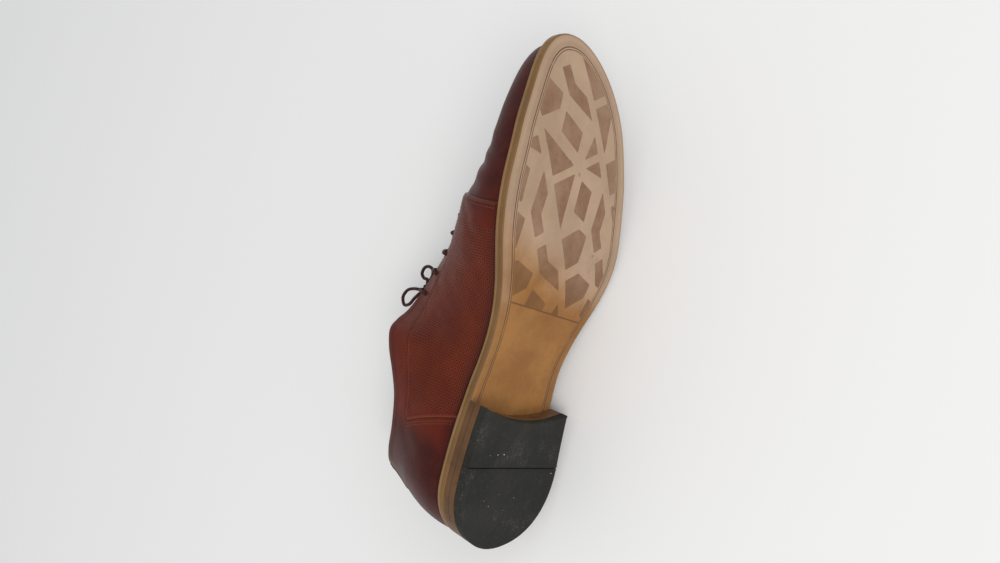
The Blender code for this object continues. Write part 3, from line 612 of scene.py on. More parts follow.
def tread_leather():
    """The sole's worn face: golden at the waist, pale and pinkish at the forefoot and the rim.

    The fields are metres: channel is the distance in from the stitched channel, waist the
    distance ahead of the waist line, print the signed distance to the printed shapes' edges.
    """
    f = Finish("worn tan sole leather")
    channel, waist, printed = f.field("channel"), f.field("waist"), f.field("print")
    rim, stand = f.field("rim"), f.field("stand")
    wide = f.noise(26.0, 5.0, 0.62)
    mottle = f.noise(120.0, 6.0, 0.65)
    dusty = f.noise(420.0, 5.0, 0.7)
    gold = f.mix(f.step(wide, 0.30, 0.70), rgb(0.270, 0.115, 0.030), rgb(0.385, 0.182, 0.054))
    gold = f.mix(f.step(mottle, 0.52, 0.80, 0.0, 0.40), gold, rgb(0.215, 0.088, 0.026))
    pale = f.mix(f.step(wide, 0.28, 0.72), rgb(0.385, 0.258, 0.170), rgb(0.475, 0.325, 0.220))
    pale = f.mix(f.step(mottle, 0.50, 0.82, 0.0, 0.30), pale, rgb(0.300, 0.185, 0.118))
    shade = f.mix(f.step(mottle, 0.30, 0.75), rgb(0.225, 0.122, 0.070), rgb(0.290, 0.168, 0.102))
    blend = f.math("ADD", stand, f.math("MULTIPLY", f.math("SUBTRACT", wide, 0.5), 0.55))
    ground = f.mix(f.step(blend, 0.10, 0.80), gold, pale)
    faded = f.math("ADD", printed, f.math("MULTIPLY", f.math("SUBTRACT", dusty, 0.5), 0.0007))
    inside = f.step(faded, -0.00012, 0.00022)
    inside = f.math("MULTIPLY", inside, f.step(waist, 0.0002, 0.0006))
    inside = f.math("MULTIPLY", inside, f.step(channel, 0.0018, 0.0024))
    strength = f.step(f.noise(46.0, 5.0, 0.6), 0.25, 0.62, 0.62, 1.0)
    golden_shade = f.mix(f.step(blend, 0.05, 0.70), rgb(0.185, 0.082, 0.030), shade)
    tone = f.mix(f.math("MULTIPLY", inside, strength), ground, golden_shade)
    tone = f.mix(f.step(dusty, 0.60, 0.78, 0.0, 0.20), tone, rgb(0.60, 0.47, 0.36))

    first = f.line(channel, 0.0, 0.00020, 0.00022)
    second = f.line(channel, 0.00135, 0.00016, 0.00022)
    lines = f.math("MAXIMUM", first, f.math("MULTIPLY", second, 0.8))
    lines = f.math("MULTIPLY", lines, f.step(f.noise(85.0, 4.0, 0.6), 0.30, 0.50, 0.45, 1.0))
    between = f.line(channel, 0.00070, 0.00040, 0.00040)
    across = f.math("MULTIPLY", f.line(waist, 0.0, 0.00022, 0.00025),
                    f.step(channel, 0.0010, 0.0016))
    lines = f.math("MAXIMUM", lines, f.math("MULTIPLY", across, 0.8))
    tone = f.mix(f.math("MULTIPLY", between, 0.16), tone, rgb(0.60, 0.40, 0.25))
    tone = f.mix(f.math("MULTIPLY", lines, 0.80), tone, rgb(0.095, 0.038, 0.016))
    shadow = f.line(channel, -0.0016, 0.0003, 0.0022)
    tone = f.mix(f.math("MULTIPLY", shadow, 0.20), tone, rgb(0.20, 0.10, 0.05))
    tone = f.mix(f.step(rim, 0.0, 0.0026, 0.55, 0.0), tone, rgb(0.300, 0.190, 0.110))

    spots = f.cells(95.0, "F1")
    patch = f.noise(22.0, 3.0, 0.5)
    dirt = f.math("MULTIPLY", f.step(spots, 0.07, 0.13, 1.0, 0.0), f.step(patch, 0.56, 0.62))
    tone = f.mix(f.math("MULTIPLY", dirt, 0.42), tone, rgb(0.11, 0.075, 0.055))
    stretched = f.add("ShaderNodeMapping", {"Vector": f.place, "Scale": (9.0, 60.0, 60.0),
                                            "Rotation": (0.2, 0.3, 0.5)}).outputs["Vector"]
    scratch = f.step(f.noise(14.0, 6.0, 0.7, stretched), 0.66, 0.74)
    tone = f.mix(f.math("MULTIPLY", scratch, 0.22), tone, rgb(0.62, 0.48, 0.37))
    f.set(Base_Color=tone, Specular_IOR_Level=0.2)
    rough = f.step(wide, 0.3, 0.7, 0.50, 0.66)
    f.set(Roughness=f.math("ADD", rough, f.math("MULTIPLY", inside, 0.06)))
    fibre = f.noise(1500.0, 3.0, 0.6)
    f.relief((f.noise(60.0, 4.0, 0.5), 0.0006), (fibre, 0.00006),
             (f.math("MULTIPLY", lines, -1.0), 0.00040), (between, 0.00012),
             (f.math("MULTIPLY", inside, -1.0), 0.00008), (f.math("MULTIPLY", dirt, -1.0), 0.0001),
             (f.math("MULTIPLY", scratch, -1.0), 0.00006))
    return f.material


def edge_leather(name, light, deep, streak):
    """Trimmed edge of sole leather: thin lines along the layers, waxed and a little uneven."""
    f = Finish(name)
    drop = f.field("layer")
    wide = f.noise(34.0, 5.0, 0.6)
    tone = f.mix(f.step(wide, 0.30, 0.72), light, deep)
    wave = f.math("ADD", f.math("MULTIPLY", drop, 5200.0),
                  f.math("MULTIPLY", f.noise(60.0, 4.0, 0.6), 5.0))
    ply = f.math("MULTIPLY", f.math("ADD", f.math("SINE", wave), 1.0), 0.5)
    tone = f.mix(f.math("MULTIPLY", ply, 0.30), tone, streak)
    dark = f.noise(150.0, 6.0, 0.65)
    tone = f.mix(f.step(dark, 0.55, 0.80, 0.0, 0.5), tone, streak)
    seam = f.field("seam")
    tone = f.mix(f.math("MULTIPLY", seam, 0.75), tone, rgb(0.060, 0.028, 0.012))
    f.set(Base_Color=tone, Roughness=f.step(dark, 0.3, 0.8, 0.40, 0.56),
          Specular_IOR_Level=0.22)
    f.relief((f.noise(90.0, 4.0, 0.5), 0.0004), (ply, 0.00006), (f.noise(1300.0, 3.0, 0.6), 0.00005),
             (f.math("MULTIPLY", seam, -1.0), 0.0002))
    return f.material


def heel_rubber():
    """Charcoal rubber: fine speckle, rubbed grey patches, white grit and short scuffs."""
    f = Finish("charcoal heel rubber")
    wide = f.noise(24.0, 5.0, 0.6)
    fine = f.noise(700.0, 4.0, 0.7)
    tone = f.mix(f.step(wide, 0.30, 0.72), rgb(0.018, 0.018, 0.0165), rgb(0.036, 0.035, 0.031))
    tone = f.mix(f.step(fine, 0.52, 0.80, 0.0, 0.55), tone, rgb(0.070, 0.066, 0.058))
    rub = f.math("MULTIPLY", f.step(f.noise(48.0, 6.0, 0.7), 0.52, 0.66),
                 f.step(f.noise(1100.0, 3.0, 0.6), 0.50, 0.62))
    tone = f.mix(f.math("MULTIPLY", rub, 0.50), tone, rgb(0.125, 0.115, 0.098))
    grains = f.add("ShaderNodeTexVoronoi", feature="F1")
    f.put(grains.inputs["Vector"], f.place)
    f.put(grains.inputs["Scale"], 300.0)
    pick = f.add("ShaderNodeSeparateColor", {"Color": grains.outputs["Color"]}).outputs[0]
    size = f.step(pick, 0.72, 1.0, 0.0, 0.12)
    grit = f.math("MULTIPLY", f.math("LESS_THAN", grains.outputs["Distance"], size),
                  f.step(f.noise(20.0, 3.0, 0.5), 0.44, 0.56))
    tone = f.mix(f.math("MULTIPLY", grit, 0.85), tone, rgb(0.62, 0.60, 0.55))
    f.set(Base_Color=tone, Roughness=f.step(wide, 0.3, 0.7, 0.62, 0.80), Specular_IOR_Level=0.12)
    f.relief((f.noise(70.0, 4.0, 0.5), 0.0004), (fine, 0.00010), (rub, 0.00006), (grit, 0.00016))
    return f.material


def plaited_lace():
    """Waxed round lace: two sets of plaited strands that cross, drawn on the lace's own chart."""
    f = Finish("waxed plaited lace")
    around, along = chart_xy(f, "thread")
    turns = f.math("MULTIPLY", around, 2 * math.pi * 4)
    run = f.math("MULTIPLY", along, 2 * math.pi / 0.0019)
    one = f.math("SINE", f.math("ADD", run, turns))
    two = f.math("SINE", f.math("SUBTRACT", run, turns))
    plait = f.math("MAXIMUM", one, two)
    # Darker in the hollows between the plaited strands: painted shade.
    tone = f.mix(f.step(plait, -0.2, 0.9), rgb(0.022, 0.006, 0.007), rgb(0.072, 0.018, 0.017))
    tone = f.mix(f.step(f.noise(300.0, 4.0, 0.6), 0.5, 0.8, 0.0, 0.4), tone,
                 rgb(0.11, 0.035, 0.028))
    f.set(Base_Color=tone, Roughness=0.52, Specular_IOR_Level=0.2)
    f.relief((plait, 0.00022), (f.noise(2500.0, 3.0, 0.6), 0.00005))
    return f.material


def sewing_thread(name, tone, light):
    """Twisted thread: slanting plies on the thread's own chart."""
    f = Finish(name)
    around, along = chart_xy(f, "thread")
    twist = f.math("SINE", f.math("ADD", f.math("MULTIPLY", around, 4 * math.pi),
                                  f.math("MULTIPLY", along, 2 * math.pi / 0.0008)))
    # Darker between the plies and lighter on their crowns: painted shade and painted highlight.
    f.set(Base_Color=f.mix(f.step(twist, -0.6, 0.9), tone, light), Roughness=0.5)
    f.relief((twist, 0.00006))
    return f.material


def tip_plastic():
    """Clear brown tip that binds a lace's end."""
    f = Finish("brown lace tip")
    cloud = f.noise(500.0, 3.0, 0.5)
    f.set(Base_Color=f.mix(cloud, rgb(0.030, 0.010, 0.008), rgb(0.060, 0.020, 0.015)),
          Roughness=0.22, Coat_Weight=0.4, Coat_Roughness=0.1)
    f.relief((cloud, 0.00004))
    return f.material


def pale_floor():
    """Matt pale paper under the shoe."""
    f = Finish("pale paper")
    cloud = f.noise(2.0, 3.0, 0.5)
    f.set(Base_Color=f.mix(cloud, rgb(0.93, 0.93, 0.925), rgb(0.95, 0.95, 0.945)),
          Roughness=0.9, Specular_IOR_Level=0.1)
    return f.material


LEATHER = upper_leather()
LINING = lining_leather()
TREAD = tread_leather()
SOLE_EDGE = edge_leather("olive tan sole edge", rgb(0.250, 0.132, 0.044), rgb(0.190, 0.098, 0.034),
                         rgb(0.110, 0.050, 0.018))
WELT_EDGE = edge_leather("pale tan welt edge", rgb(0.330, 0.190, 0.078), rgb(0.260, 0.145, 0.056),
                         rgb(0.170, 0.088, 0.034))
HEEL_EDGE = edge_leather("brown heel edge", rgb(0.175, 0.086, 0.034), rgb(0.110, 0.050, 0.020),
                         rgb(0.050, 0.022, 0.009))
RUBBER = heel_rubber()
LACE = plaited_lace()
SEAM_THREAD = sewing_thread("brown seam thread", rgb(0.120, 0.034, 0.020), rgb(0.260, 0.085, 0.045))
TIP = tip_plastic()


# The upper

def upper_places():
    """Places of the upper's sections: close at the toe, at the seams and at the panel's back."""
    even = np.concatenate([np.linspace(0.0, 1.0, 10), np.linspace(1.0, 7.0, 62),
                           np.linspace(7.0, 9.0, 14), np.linspace(9.0, 22.0, 118),
                           np.linspace(22.0, 23.0, 24)])
    seam = THROAT_FRONT + np.array([-0.12, -0.06, -0.03, -0.01, 0.0, 0.02, 0.05, 0.08, 0.12, 0.2])
    panel = PANEL_BACK + np.array([-0.36, -0.3, -0.25, -0.2, -0.16, -0.12, -0.09, -0.06, -0.04,
                                   -0.02, 0.0, 0.015, 0.03, 0.05, 0.08])
    tab = TAB_EDGE + np.array([-0.08, -0.03, -0.01, 0.0, 0.012, 0.025, 0.04, 0.08])
    return np.unique(np.round(np.concatenate([even, seam, panel, tab]), 5))


def upper_levels():
    """Levels of the upper's points, close at the band's foot, the tab's foot and the collar."""
    even = np.concatenate([np.linspace(0.0, 0.06, 5), np.linspace(0.06, 0.94, 62),
                           np.linspace(0.94, 1.0, 8)])
    band = BAND_FOOT + np.array([-0.05, -0.042, -0.034, -0.027, -0.02, -0.014, -0.009, -0.005,
                                 -0.002, 0.001, 0.004, 0.008])
    tab = TAB_FOOT + np.array([-0.008, -0.003, 0.0, 0.003, 0.006, 0.012])
    return np.unique(np.round(np.concatenate([even, band, tab]), 5))


# Creases of the worn upper: a soft trough with a ridge beside it. A side's chart is x and the
# height up the side, as shares of LENGTH and INSTEP_HEIGHT; depth and width are shares of WALL.
Crease = namedtuple("Crease", "side x0 up0 x1 up1 depth width")
CREASES = [
    Crease(-1, 0.735, 0.16, 0.790, 0.66, 0.30, 1.6), Crease(-1, 0.758, 0.12, 0.812, 0.52, 0.22, 1.4),
    Crease(-1, 0.700, 0.20, 0.742, 0.78, 0.34, 1.9), Crease(-1, 0.780, 0.20, 0.826, 0.50, 0.16, 1.2),
    Crease(-1, 0.716, 0.34, 0.772, 0.90, 0.22, 1.4), Crease(-1, 0.640, 0.22, 0.672, 0.50, 0.24, 1.7),
    Crease(-1, 0.600, 0.16, 0.648, 0.40, 0.20, 1.5), Crease(-1, 0.470, 0.62, 0.520, 0.86, 0.22, 2.0),
    Crease(-1, 0.400, 0.40, 0.440, 0.72, 0.16, 2.2), Crease(-1, 0.150, 0.30, 0.210, 0.66, 0.14, 2.4),
    Crease(1, 0.730, 0.14, 0.788, 0.66, 0.30, 1.6), Crease(1, 0.752, 0.10, 0.806, 0.50, 0.22, 1.4),
    Crease(1, 0.694, 0.18, 0.738, 0.76, 0.32, 1.8), Crease(1, 0.775, 0.16, 0.822, 0.46, 0.16, 1.2),
    Crease(1, 0.610, 0.20, 0.655, 0.46, 0.22, 1.6), Crease(1, 0.460, 0.60, 0.512, 0.84, 0.20, 2.0),
    Crease(1, 0.390, 0.38, 0.430, 0.70, 0.15, 2.2), Crease(1, 0.150, 0.34, 0.200, 0.70, 0.14, 2.4),
]


def crease_height(x, up, side):
    """Sum of the creases: each is minus a bell across its line, plus half a bell beside it."""
    total = np.zeros_like(x)
    for c in (c for c in CREASES if c.side == side):
        a = np.array([c.x0 * LENGTH, c.up0 * INSTEP_HEIGHT])
        b = np.array([c.x1 * LENGTH, c.up1 * INSTEP_HEIGHT])
        run = (b - a) / np.linalg.norm(b - a)
        along = ((x - a[0]) * run[0] + (up - a[1]) * run[1]) / np.linalg.norm(b - a)
        bow = 0.10 * np.linalg.norm(b - a) * np.sin(np.pi * np.clip(along, 0, 1))
        off = (x - a[0]) * run[1] - (up - a[1]) * run[0] + bow
        width = c.width * WALL
        fade = ease(along / 0.3) * ease((1.0 - along) / 0.3)
        trough = -np.exp(-(off / width)**2) + 0.5 * np.exp(-((off - 1.9 * width) / width)**2)
        total += c.depth * WALL * fade * trough
    return total


def leaning_surface(places, levels, side):
    """The last's surface on sections that lean back around the panel's back edge.

    Each section shifts along the table by PANEL_LEAN, forward at its foot and back from the band
    up. The shift fades out from the panel's back edge towards the throat and the heel.
    """
    fine = np.linspace(0.0, len(TABLE) - 1.0, 1841)
    surface = upper_surface(fine, levels, side)
    share = np.interp(places, [14.0, PANEL_BACK, TAB_EDGE - 0.4], [0.0, 1.0, 0.0])
    lean = PANEL_LEAN * (2.0 * np.clip(levels / BAND_FOOT, 0.0, 1.0) - 1.0)
    at = np.clip(places[:, None] + share[:, None] * lean, 0.0, fine[-1]) / fine[1]
    i = np.clip(np.floor(at + 1e-9).astype(int), 0, len(fine) - 2)
    t = (at - i)[..., None]
    j = np.arange(len(levels))[None, :]
    return (1.0 - t) * surface[i, j] + t * surface[i + 1, j]


class UpperSide:
    """One side of the upper on a fine grid: surface, distances to its seams, and its relief."""

    def __init__(self, side, places, levels):
        self.side, self.places, self.levels = side, places, levels
        self.base = leaning_surface(places, levels, side)
        step_up = np.linalg.norm(np.diff(self.base, axis=1), axis=2)
        self.up = np.concatenate([np.zeros((len(places), 1)), np.cumsum(step_up, axis=1)], axis=1)
        step_on = np.linalg.norm(np.diff(self.base, axis=0), axis=2)
        self.on = np.concatenate([np.zeros((1, len(levels))), np.cumsum(step_on, axis=0)], axis=0)
        self.behind_vamp = self.on - self.at_place(self.on, THROAT_FRONT)
        self.from_back = self.at_place(self.on, PANEL_BACK) - self.on
        self.from_band = self.at_level(self.up, BAND_FOOT) - self.up
        self.in_tab = self.on - self.at_place(self.on, TAB_EDGE)
        self.over_tab_foot = self.up - self.at_level(self.up, TAB_FOOT)
        self.to_top = self.up[:, -1:] - self.up
        self.panel = self.panel_distance(PANEL_CORNER)
        self.tab = np.minimum(self.in_tab, self.over_tab_foot)

    def at_place(self, values, place):
        k = int(np.argmin(np.abs(self.places - place)))
        return values[k:k + 1]

    def at_level(self, values, level):
        k = int(np.argmin(np.abs(self.levels - level)))
        return values[:, k:k + 1]

    def panel_distance(self, corner):
        """Distance in from the panel's edges, with its upper back corner rounded."""
        a, b = self.from_back, self.from_band
        round_off = corner - np.hypot(corner - a, corner - b)
        inner = np.where((a < corner) & (b < corner), round_off, np.minimum(a, b))
        return np.minimum(inner, self.behind_vamp)

    def lip(self, distance, height, run=0.00045):
        """A cut edge: up over run with a rounded shoulder, from a slight groove beside it."""
        shoulder = ease(distance / run) * (0.86 + 0.14 * ease(distance / (4 * run)))
        groove = -0.16 * np.exp(-((distance + 0.7 * run) / (0.9 * run))**2)
        return height * (shoulder + groove)

    def relief(self):
        """Height over the last: quarter, panel and tab edges, seam dips, creases and puckers."""
        top = self.lip(self.behind_vamp, OVERLAY_STEP)
        top += self.lip(np.minimum(self.panel, self.behind_vamp - 0.0008), 0.75 * OVERLAY_STEP)
        top += self.lip(self.tab, OVERLAY_STEP)
        for distance, at, depth in self.seam_dips():
            top -= depth * np.exp(-((distance - at) / 0.0006)**2)
        x, up = self.base[..., 0], self.up
        top += crease_height(x, up, self.side) * ease(self.to_top / 0.012) * ease(up / 0.006)
        feather = np.exp(-(up / 0.0035)**2)
        pucker = np.sin(self.on / 0.0052) * np.sin(self.on / 0.0131 + 1.0)
        top += 0.00010 * pucker * feather * ease((self.places[:, None] - 0.2) / 0.8)
        top += 0.00022 * np.exp(-((self.to_top - 0.0035) / 0.0022)**2) * (self.behind_vamp > 0)
        return top

    def seam_dips(self):
        return [
            (self.behind_vamp, VAMP_SEAM[0], 0.00013), (self.behind_vamp, VAMP_SEAM[1], 0.00013),
            (np.where(self.behind_vamp > 0.0045, self.panel, 9.0), PANEL_SEAM, 0.00013),
            (np.where(self.behind_vamp > 0.001, self.to_top, 9.0), COLLAR_SEAM, 0.00016),
            (self.tab, TAB_SEAM, 0.00013),
        ]

    def groove_shade(self):
        """Painted shade: darker at the foot of each cut edge and along the welt."""
        dark = np.exp(-((self.behind_vamp + 0.0003) / 0.0004)**2)
        dark = np.maximum(dark, np.exp(-((self.tab + 0.0003) / 0.0004)**2))
        edge = np.where(self.behind_vamp > 0.0008, self.panel, 9.0)
        dark = np.maximum(dark, np.exp(-((edge + 0.0003) / 0.0004)**2))
        return np.maximum(dark, 0.85 * np.exp(-(self.up / 0.0016)**2))

    def edge_highlights(self):
        """Painted highlight: paler on the shoulder of each cut edge and of the collar."""
        edge = np.where(self.behind_vamp > 0.0008, self.panel, 9.0)
        pale = np.exp(-((edge - 0.0005) / 0.0004)**2)
        pale = np.maximum(pale, 0.5 * np.exp(-((self.behind_vamp - 0.0005) / 0.0004)**2))
        pale = np.maximum(pale, 0.6 * np.exp(-((self.tab - 0.0005) / 0.0004)**2))
        collar = 0.35 * np.exp(-((self.to_top - 0.0006) / 0.0008)**2)
        return np.maximum(pale, collar * (self.behind_vamp > 0))

    def burnish(self):
        """How dark the burnish and painted shade are: full at toe, vamp and heel, and none in mid
        quarter.
        """
        x = self.base[..., 0] / LENGTH
        toe = ease((x - 0.560) / 0.20)
        heel = ease((0.235 - x) / 0.10)
        low = 0.55 * np.exp(-(self.up / 0.008)**2)
        high = 0.28 * ease((0.010 - self.to_top) / 0.010)
        back = 0.30 * ease((-self.panel) / 0.006) * (self.behind_vamp > 0)
        return np.clip(np.maximum.reduce([toe, heel, low, high]) + back, 0.0, 1.0)

    def sample(self, grid, i, j):
        """Values of a grid of points between its rows and columns, as on a stretched sheet."""
        i0 = np.clip(np.floor(i).astype(int), 0, len(self.places) - 2)
        j0 = np.clip(np.floor(j).astype(int), 0, len(self.levels) - 2)
        a, b = (i - i0)[:, None], (j - j0)[:, None]
        return ((1 - a) * (1 - b) * grid[i0, j0] + a * (1 - b) * grid[i0 + 1, j0]
                + (1 - a) * b * grid[i0, j0 + 1] + a * b * grid[i0 + 1, j0 + 1])


def upper_grids():
    """Both sides, their shared normals and the outer and inner surfaces of the wall."""
    places, levels = upper_places(), upper_levels()
    sides = {side: UpperSide(side, places, levels) for side in (1, -1)}
    size = len(places) * len(levels)
    points = np.concatenate([sides[s].base.reshape(-1, 3) for s in (1, -1)])
    faces = np.concatenate([grid_quads(len(places), len(levels), k * size) for k in (0, 1)])
    faces[len(faces) // 2:] = faces[len(faces) // 2:, ::-1]
    first, welded = weld(points, faces)
    corner = points[first][welded]
    normal = np.cross(corner[:, 2] - corner[:, 0], corner[:, 3] - corner[:, 1])
    total = np.zeros((len(first), 3))
    for k in range(4):
        np.add.at(total, welded[:, k], normal)
    total /= np.maximum(np.linalg.norm(total, axis=1), 1e-12)[:, None]
    if total[:, 2].sum() < 0:
        total = -total
    back = np.ravel(np.unique(np.round(points, 7), axis=0, return_inverse=True)[1])
    normals = total[back]
    for k, side in enumerate((1, -1)):
        s = sides[side]
        s.normal = normals[k * size:(k + 1) * size].reshape(s.base.shape).copy()
        s.normal[:, 0, 2] = 0.0
        s.normal /= np.maximum(np.linalg.norm(s.normal, axis=2), 1e-12)[..., None]
        s.outer = s.base + s.normal * s.relief()[..., None]
        s.inner = s.base - s.normal * WALL
    return sides


def build_upper(sides):
    """The upper: outer leather, a rounded rim at throat and collar, and the lining inside.

    Each section is one closed strip: up the outside, over the rim as half an ellipse, down the
    inside, and across the foot.
    """
    points, faces, kinds, chart = [], [], [], []
    names = ("burnish", "panel", "groove", "edge")
    store = {name: [] for name in names}
    first = 0
    rim_steps = 5
    for side in (1, -1):
        s = sides[side]
        up = s.outer[:, -1] - s.outer[:, -3]
        up /= np.maximum(np.linalg.norm(up, axis=1), 1e-12)[:, None]
        middle = (s.outer[:, -1] + s.inner[:, -1]) / 2
        half = (s.outer[:, -1] - s.inner[:, -1]) / 2
        angle = np.linspace(0.0, np.pi, rim_steps + 2)[1:-1]
        open_top = (s.places >= THROAT_FRONT + 0.02) & (s.places < len(TABLE) - 1.0001)
        rise = 0.0009 * open_top
        rim = (middle[:, None, :] + np.cos(angle)[None, :, None] * half[:, None, :]
               + np.sin(angle)[None, :, None] * (up * rise[:, None])[:, None, :])
        strip = np.concatenate([s.outer, rim, s.inner[:, ::-1]], axis=1)
        rows, columns = strip.shape[:2]
        count = len(s.levels)
        quads = grid_quads(rows, columns, first, wrap=True)
        column = np.tile(np.arange(columns), rows - 1)
        closed_row = np.repeat(~(open_top[:-1] | open_top[1:]), columns)
        in_rim = (column >= count - 1) & (column < count + rim_steps)
        keep = ~(closed_row & in_rim)
        quads, column = quads[keep], column[keep]
        if side < 0:
            quads = quads[:, ::-1]
        points.append(strip.reshape(-1, 3))
        faces.append(quads)
        kinds.append(np.where((column >= count + 1) & (column < columns - 1), 1, 0))
        values = {"burnish": s.burnish(), "groove": s.groove_shade(), "edge": s.edge_highlights(),
                  "panel": np.minimum(s.panel, s.behind_vamp - SMOOTH_BAND)}
        for name in names:
            v = values[name]
            rim_v = np.repeat(v[:, -1:], rim_steps, axis=1)
            store[name].append(np.concatenate([v, rim_v, v[:, ::-1]], axis=1).ravel())
        plan = np.stack([s.base[..., 0], s.up], axis=-1)
        rim_plan = np.repeat(plan[:, -1:], rim_steps, axis=1)
        chart.append(np.concatenate([plan, rim_plan, plan[:, ::-1]], axis=1).reshape(-1, 2))
        first += rows * columns
    fields = {name: np.concatenate(store[name]) for name in names}
    piece = make_piece("upper_leather", np.concatenate(points), np.concatenate(faces),
                       (LEATHER, LINING), np.concatenate(kinds), fields,
                       {"side": np.concatenate(chart)}, node="upper",
                       sharp=50.0)
    return piece


# Seams

def seam_path(s, distance, value, along_level, start, stop):
    """The line on a side where a distance has a value, as points and normals.

    along_level reads the distance down each section, and otherwise along each level. start and
    stop limit the places, or the levels.
    """
    if along_level:
        rows = np.flatnonzero((s.places >= start) & (s.places <= stop))
        j = np.array([np.interp(value, *ordered(distance[i], np.arange(len(s.levels))))
                      for i in rows])
        i = rows.astype(float)
    else:
        columns = np.flatnonzero((s.levels >= start) & (s.levels <= stop))
        i = np.array([np.interp(value, *ordered(distance[:, j], np.arange(len(s.places))))
                      for j in columns])
        j = columns.astype(float)
    return s.sample(s.outer, i, j), s.sample(s.normal, i, j)


def ordered(values, index):
    """Values and their index in rising order, for reading a place between them."""
    turn = 1 if values[-1] >= values[0] else -1
    return values[::turn], index[::turn].astype(float)


def stitch_tubes(path, normal, pitch, share, thick):
    """Stitches along a path: a short thread that rises from one hole and dips into the next."""
    run = np.r_[0.0, np.cumsum(np.linalg.norm(np.diff(path, axis=0), axis=1))]
    count = max(1, int(run[-1] / pitch))
    starts = (np.arange(count) + 0.5 * (1 - share)) * run[-1] / count
    t = np.linspace(0.0, 1.0, 6)
    at = starts[:, None] + t[None, :] * share * run[-1] / count
    spots = np.stack([np.interp(at, run, path[:, k]) for k in range(3)], axis=-1)
    away = np.stack([np.interp(at, run, normal[:, k]) for k in range(3)], axis=-1)
    away /= np.linalg.norm(away, axis=2)[..., None]
    bow = np.sin(np.pi * t)
    spots = spots + away * (thick * (0.62 * bow**0.7 - 0.40))[None, :, None]
    radii = np.broadcast_to(thick / 2 * (0.55 + 0.45 * bow), at.shape)
    return spots, away, radii


def build_seams(sides):
    """Every row of stitches of the upper, one joined piece for each seam."""
    seams = {"vamp_stitches": [], "panel_stitches": [], "panel_dots": [], "collar_stitches": [],
             "heel_tab_stitches": []}
    for side in (1, -1):
        s = sides[side]
        for at in VAMP_SEAM:
            seams["vamp_stitches"].append(seam_path(s, s.behind_vamp, at, False, 0.02, 0.985))
        seams["panel_stitches"].append(panel_path(s, PANEL_SEAM))
        for at in PANEL_DOTS:
            seams["panel_dots"].append(panel_path(s, at, 11.5, 0.10))
        seams["collar_stitches"].append(seam_path(s, s.to_top, COLLAR_SEAM, True, 7.45, 22.95))
        seams["heel_tab_stitches"].append(seam_path(s, s.in_tab, TAB_SEAM, False, 0.645, 0.965))
        seams["heel_tab_stitches"].append(seam_path(s, s.over_tab_foot, TAB_SEAM, True,
                                                    22.12, 22.97))
    for name, rows in seams.items():
        found = [stitch_tubes(path, normal, SEAM_PITCH, SEAM_SHARE, SEAM_THREAD_THICK)
                 for path, normal in rows]
        paths, normals, radii = (np.concatenate([f[k] for f in found]) for k in range(3))
        make_tubes(name, paths, normals, radii, 6, SEAM_THREAD)


def panel_path(s, inset, start=7.5, turn_room=0.30):
    """Along the panel's top edge and round its corner down to the sole, inset from its edge."""
    path, normal = seam_path(s, s.from_band, inset, True, start, PANEL_BACK - turn_room)
    turn, turn_normal = seam_path(s, s.from_back, inset, False, 0.02, BAND_FOOT - turn_room / 9)
    return np.concatenate([path, turn[::-1]]), np.concatenate([normal, turn_normal[::-1]])


# The sole

def signed_distance(points, shapes):
    """Distance to the nearest edge of a set of polygons, positive inside any of them."""
    best = np.full(len(points), 1.0)
    inside = np.zeros(len(points), bool)
    for shape in shapes:
        shape = np.asarray(shape, float)
        odd = np.zeros(len(points), bool)
        for a, b in zip(shape, np.roll(shape, -1, axis=0)):
            run = b - a
            t = np.clip(((points - a) @ run) / (run @ run), 0.0, 1.0)
            best = np.minimum(best, np.linalg.norm(points - a - t[:, None] * run, axis=1))
            spans = (a[1] > points[:, 1]) != (b[1] > points[:, 1])
            rise = run[1] if run[1] else 1e-12
            odd ^= spans & (points[:, 0] < a[0] + (points[:, 1] - a[1]) * run[0] / rise)
        inside |= odd
    return np.where(inside, best, -best)


# The line between waist and forefoot, from its lateral to its medial end, and where print starts
WAIST_LINE = ((0.130, 0.043), (0.147, -0.027))
PRINT_START = 0.11

# The printed forefoot: plain shapes listed on a cell, as shares of the cell's two sides
PRINT_CELL = (0.058, 0.047)
PRINT_TURN = math.radians(-24.0)
PRINT_SHAPES = [
    [(0.04, 0.06), (0.50, 0.06), (0.04, 0.46)],
    [(0.60, 0.06), (0.94, 0.06), (0.94, 0.30), (0.72, 0.52), (0.60, 0.40)],
    [(0.14, 0.56), (0.40, 0.34), (0.56, 0.50), (0.30, 0.72)],
    [(0.04, 0.94), (0.04, 0.66), (0.22, 0.94)],
    [(0.36, 0.94), (0.52, 0.78), (0.68, 0.62), (0.94, 0.62), (0.94, 0.78), (0.76, 0.78), (0.60, 0.94)],
]


def print_shapes():
    """The cell's shapes over the forefoot: every second row shifts by half a cell and mirrors."""
    c, s = math.cos(PRINT_TURN), math.sin(PRINT_TURN)
    found = []
    for i in range(-2, 7):
        for j in range(-3, 5):
            for shape in PRINT_SHAPES:
                p = np.array(shape)
                if (i + j) % 2:
                    p = np.c_[1.0 - p[:, 0], p[:, 1]]
                p = (p + (i + 0.5 * (j % 2), j)) * PRINT_CELL
                found.append(np.c_[0.115 + c * p[:, 0] - s * p[:, 1],
                                   -0.020 + s * p[:, 0] + c * p[:, 1]])
    return [p for p in found if p[:, 0].max() > 0.12 and p[:, 0].min() < LENGTH
            and abs(p[:, 1]).min() < 0.07]


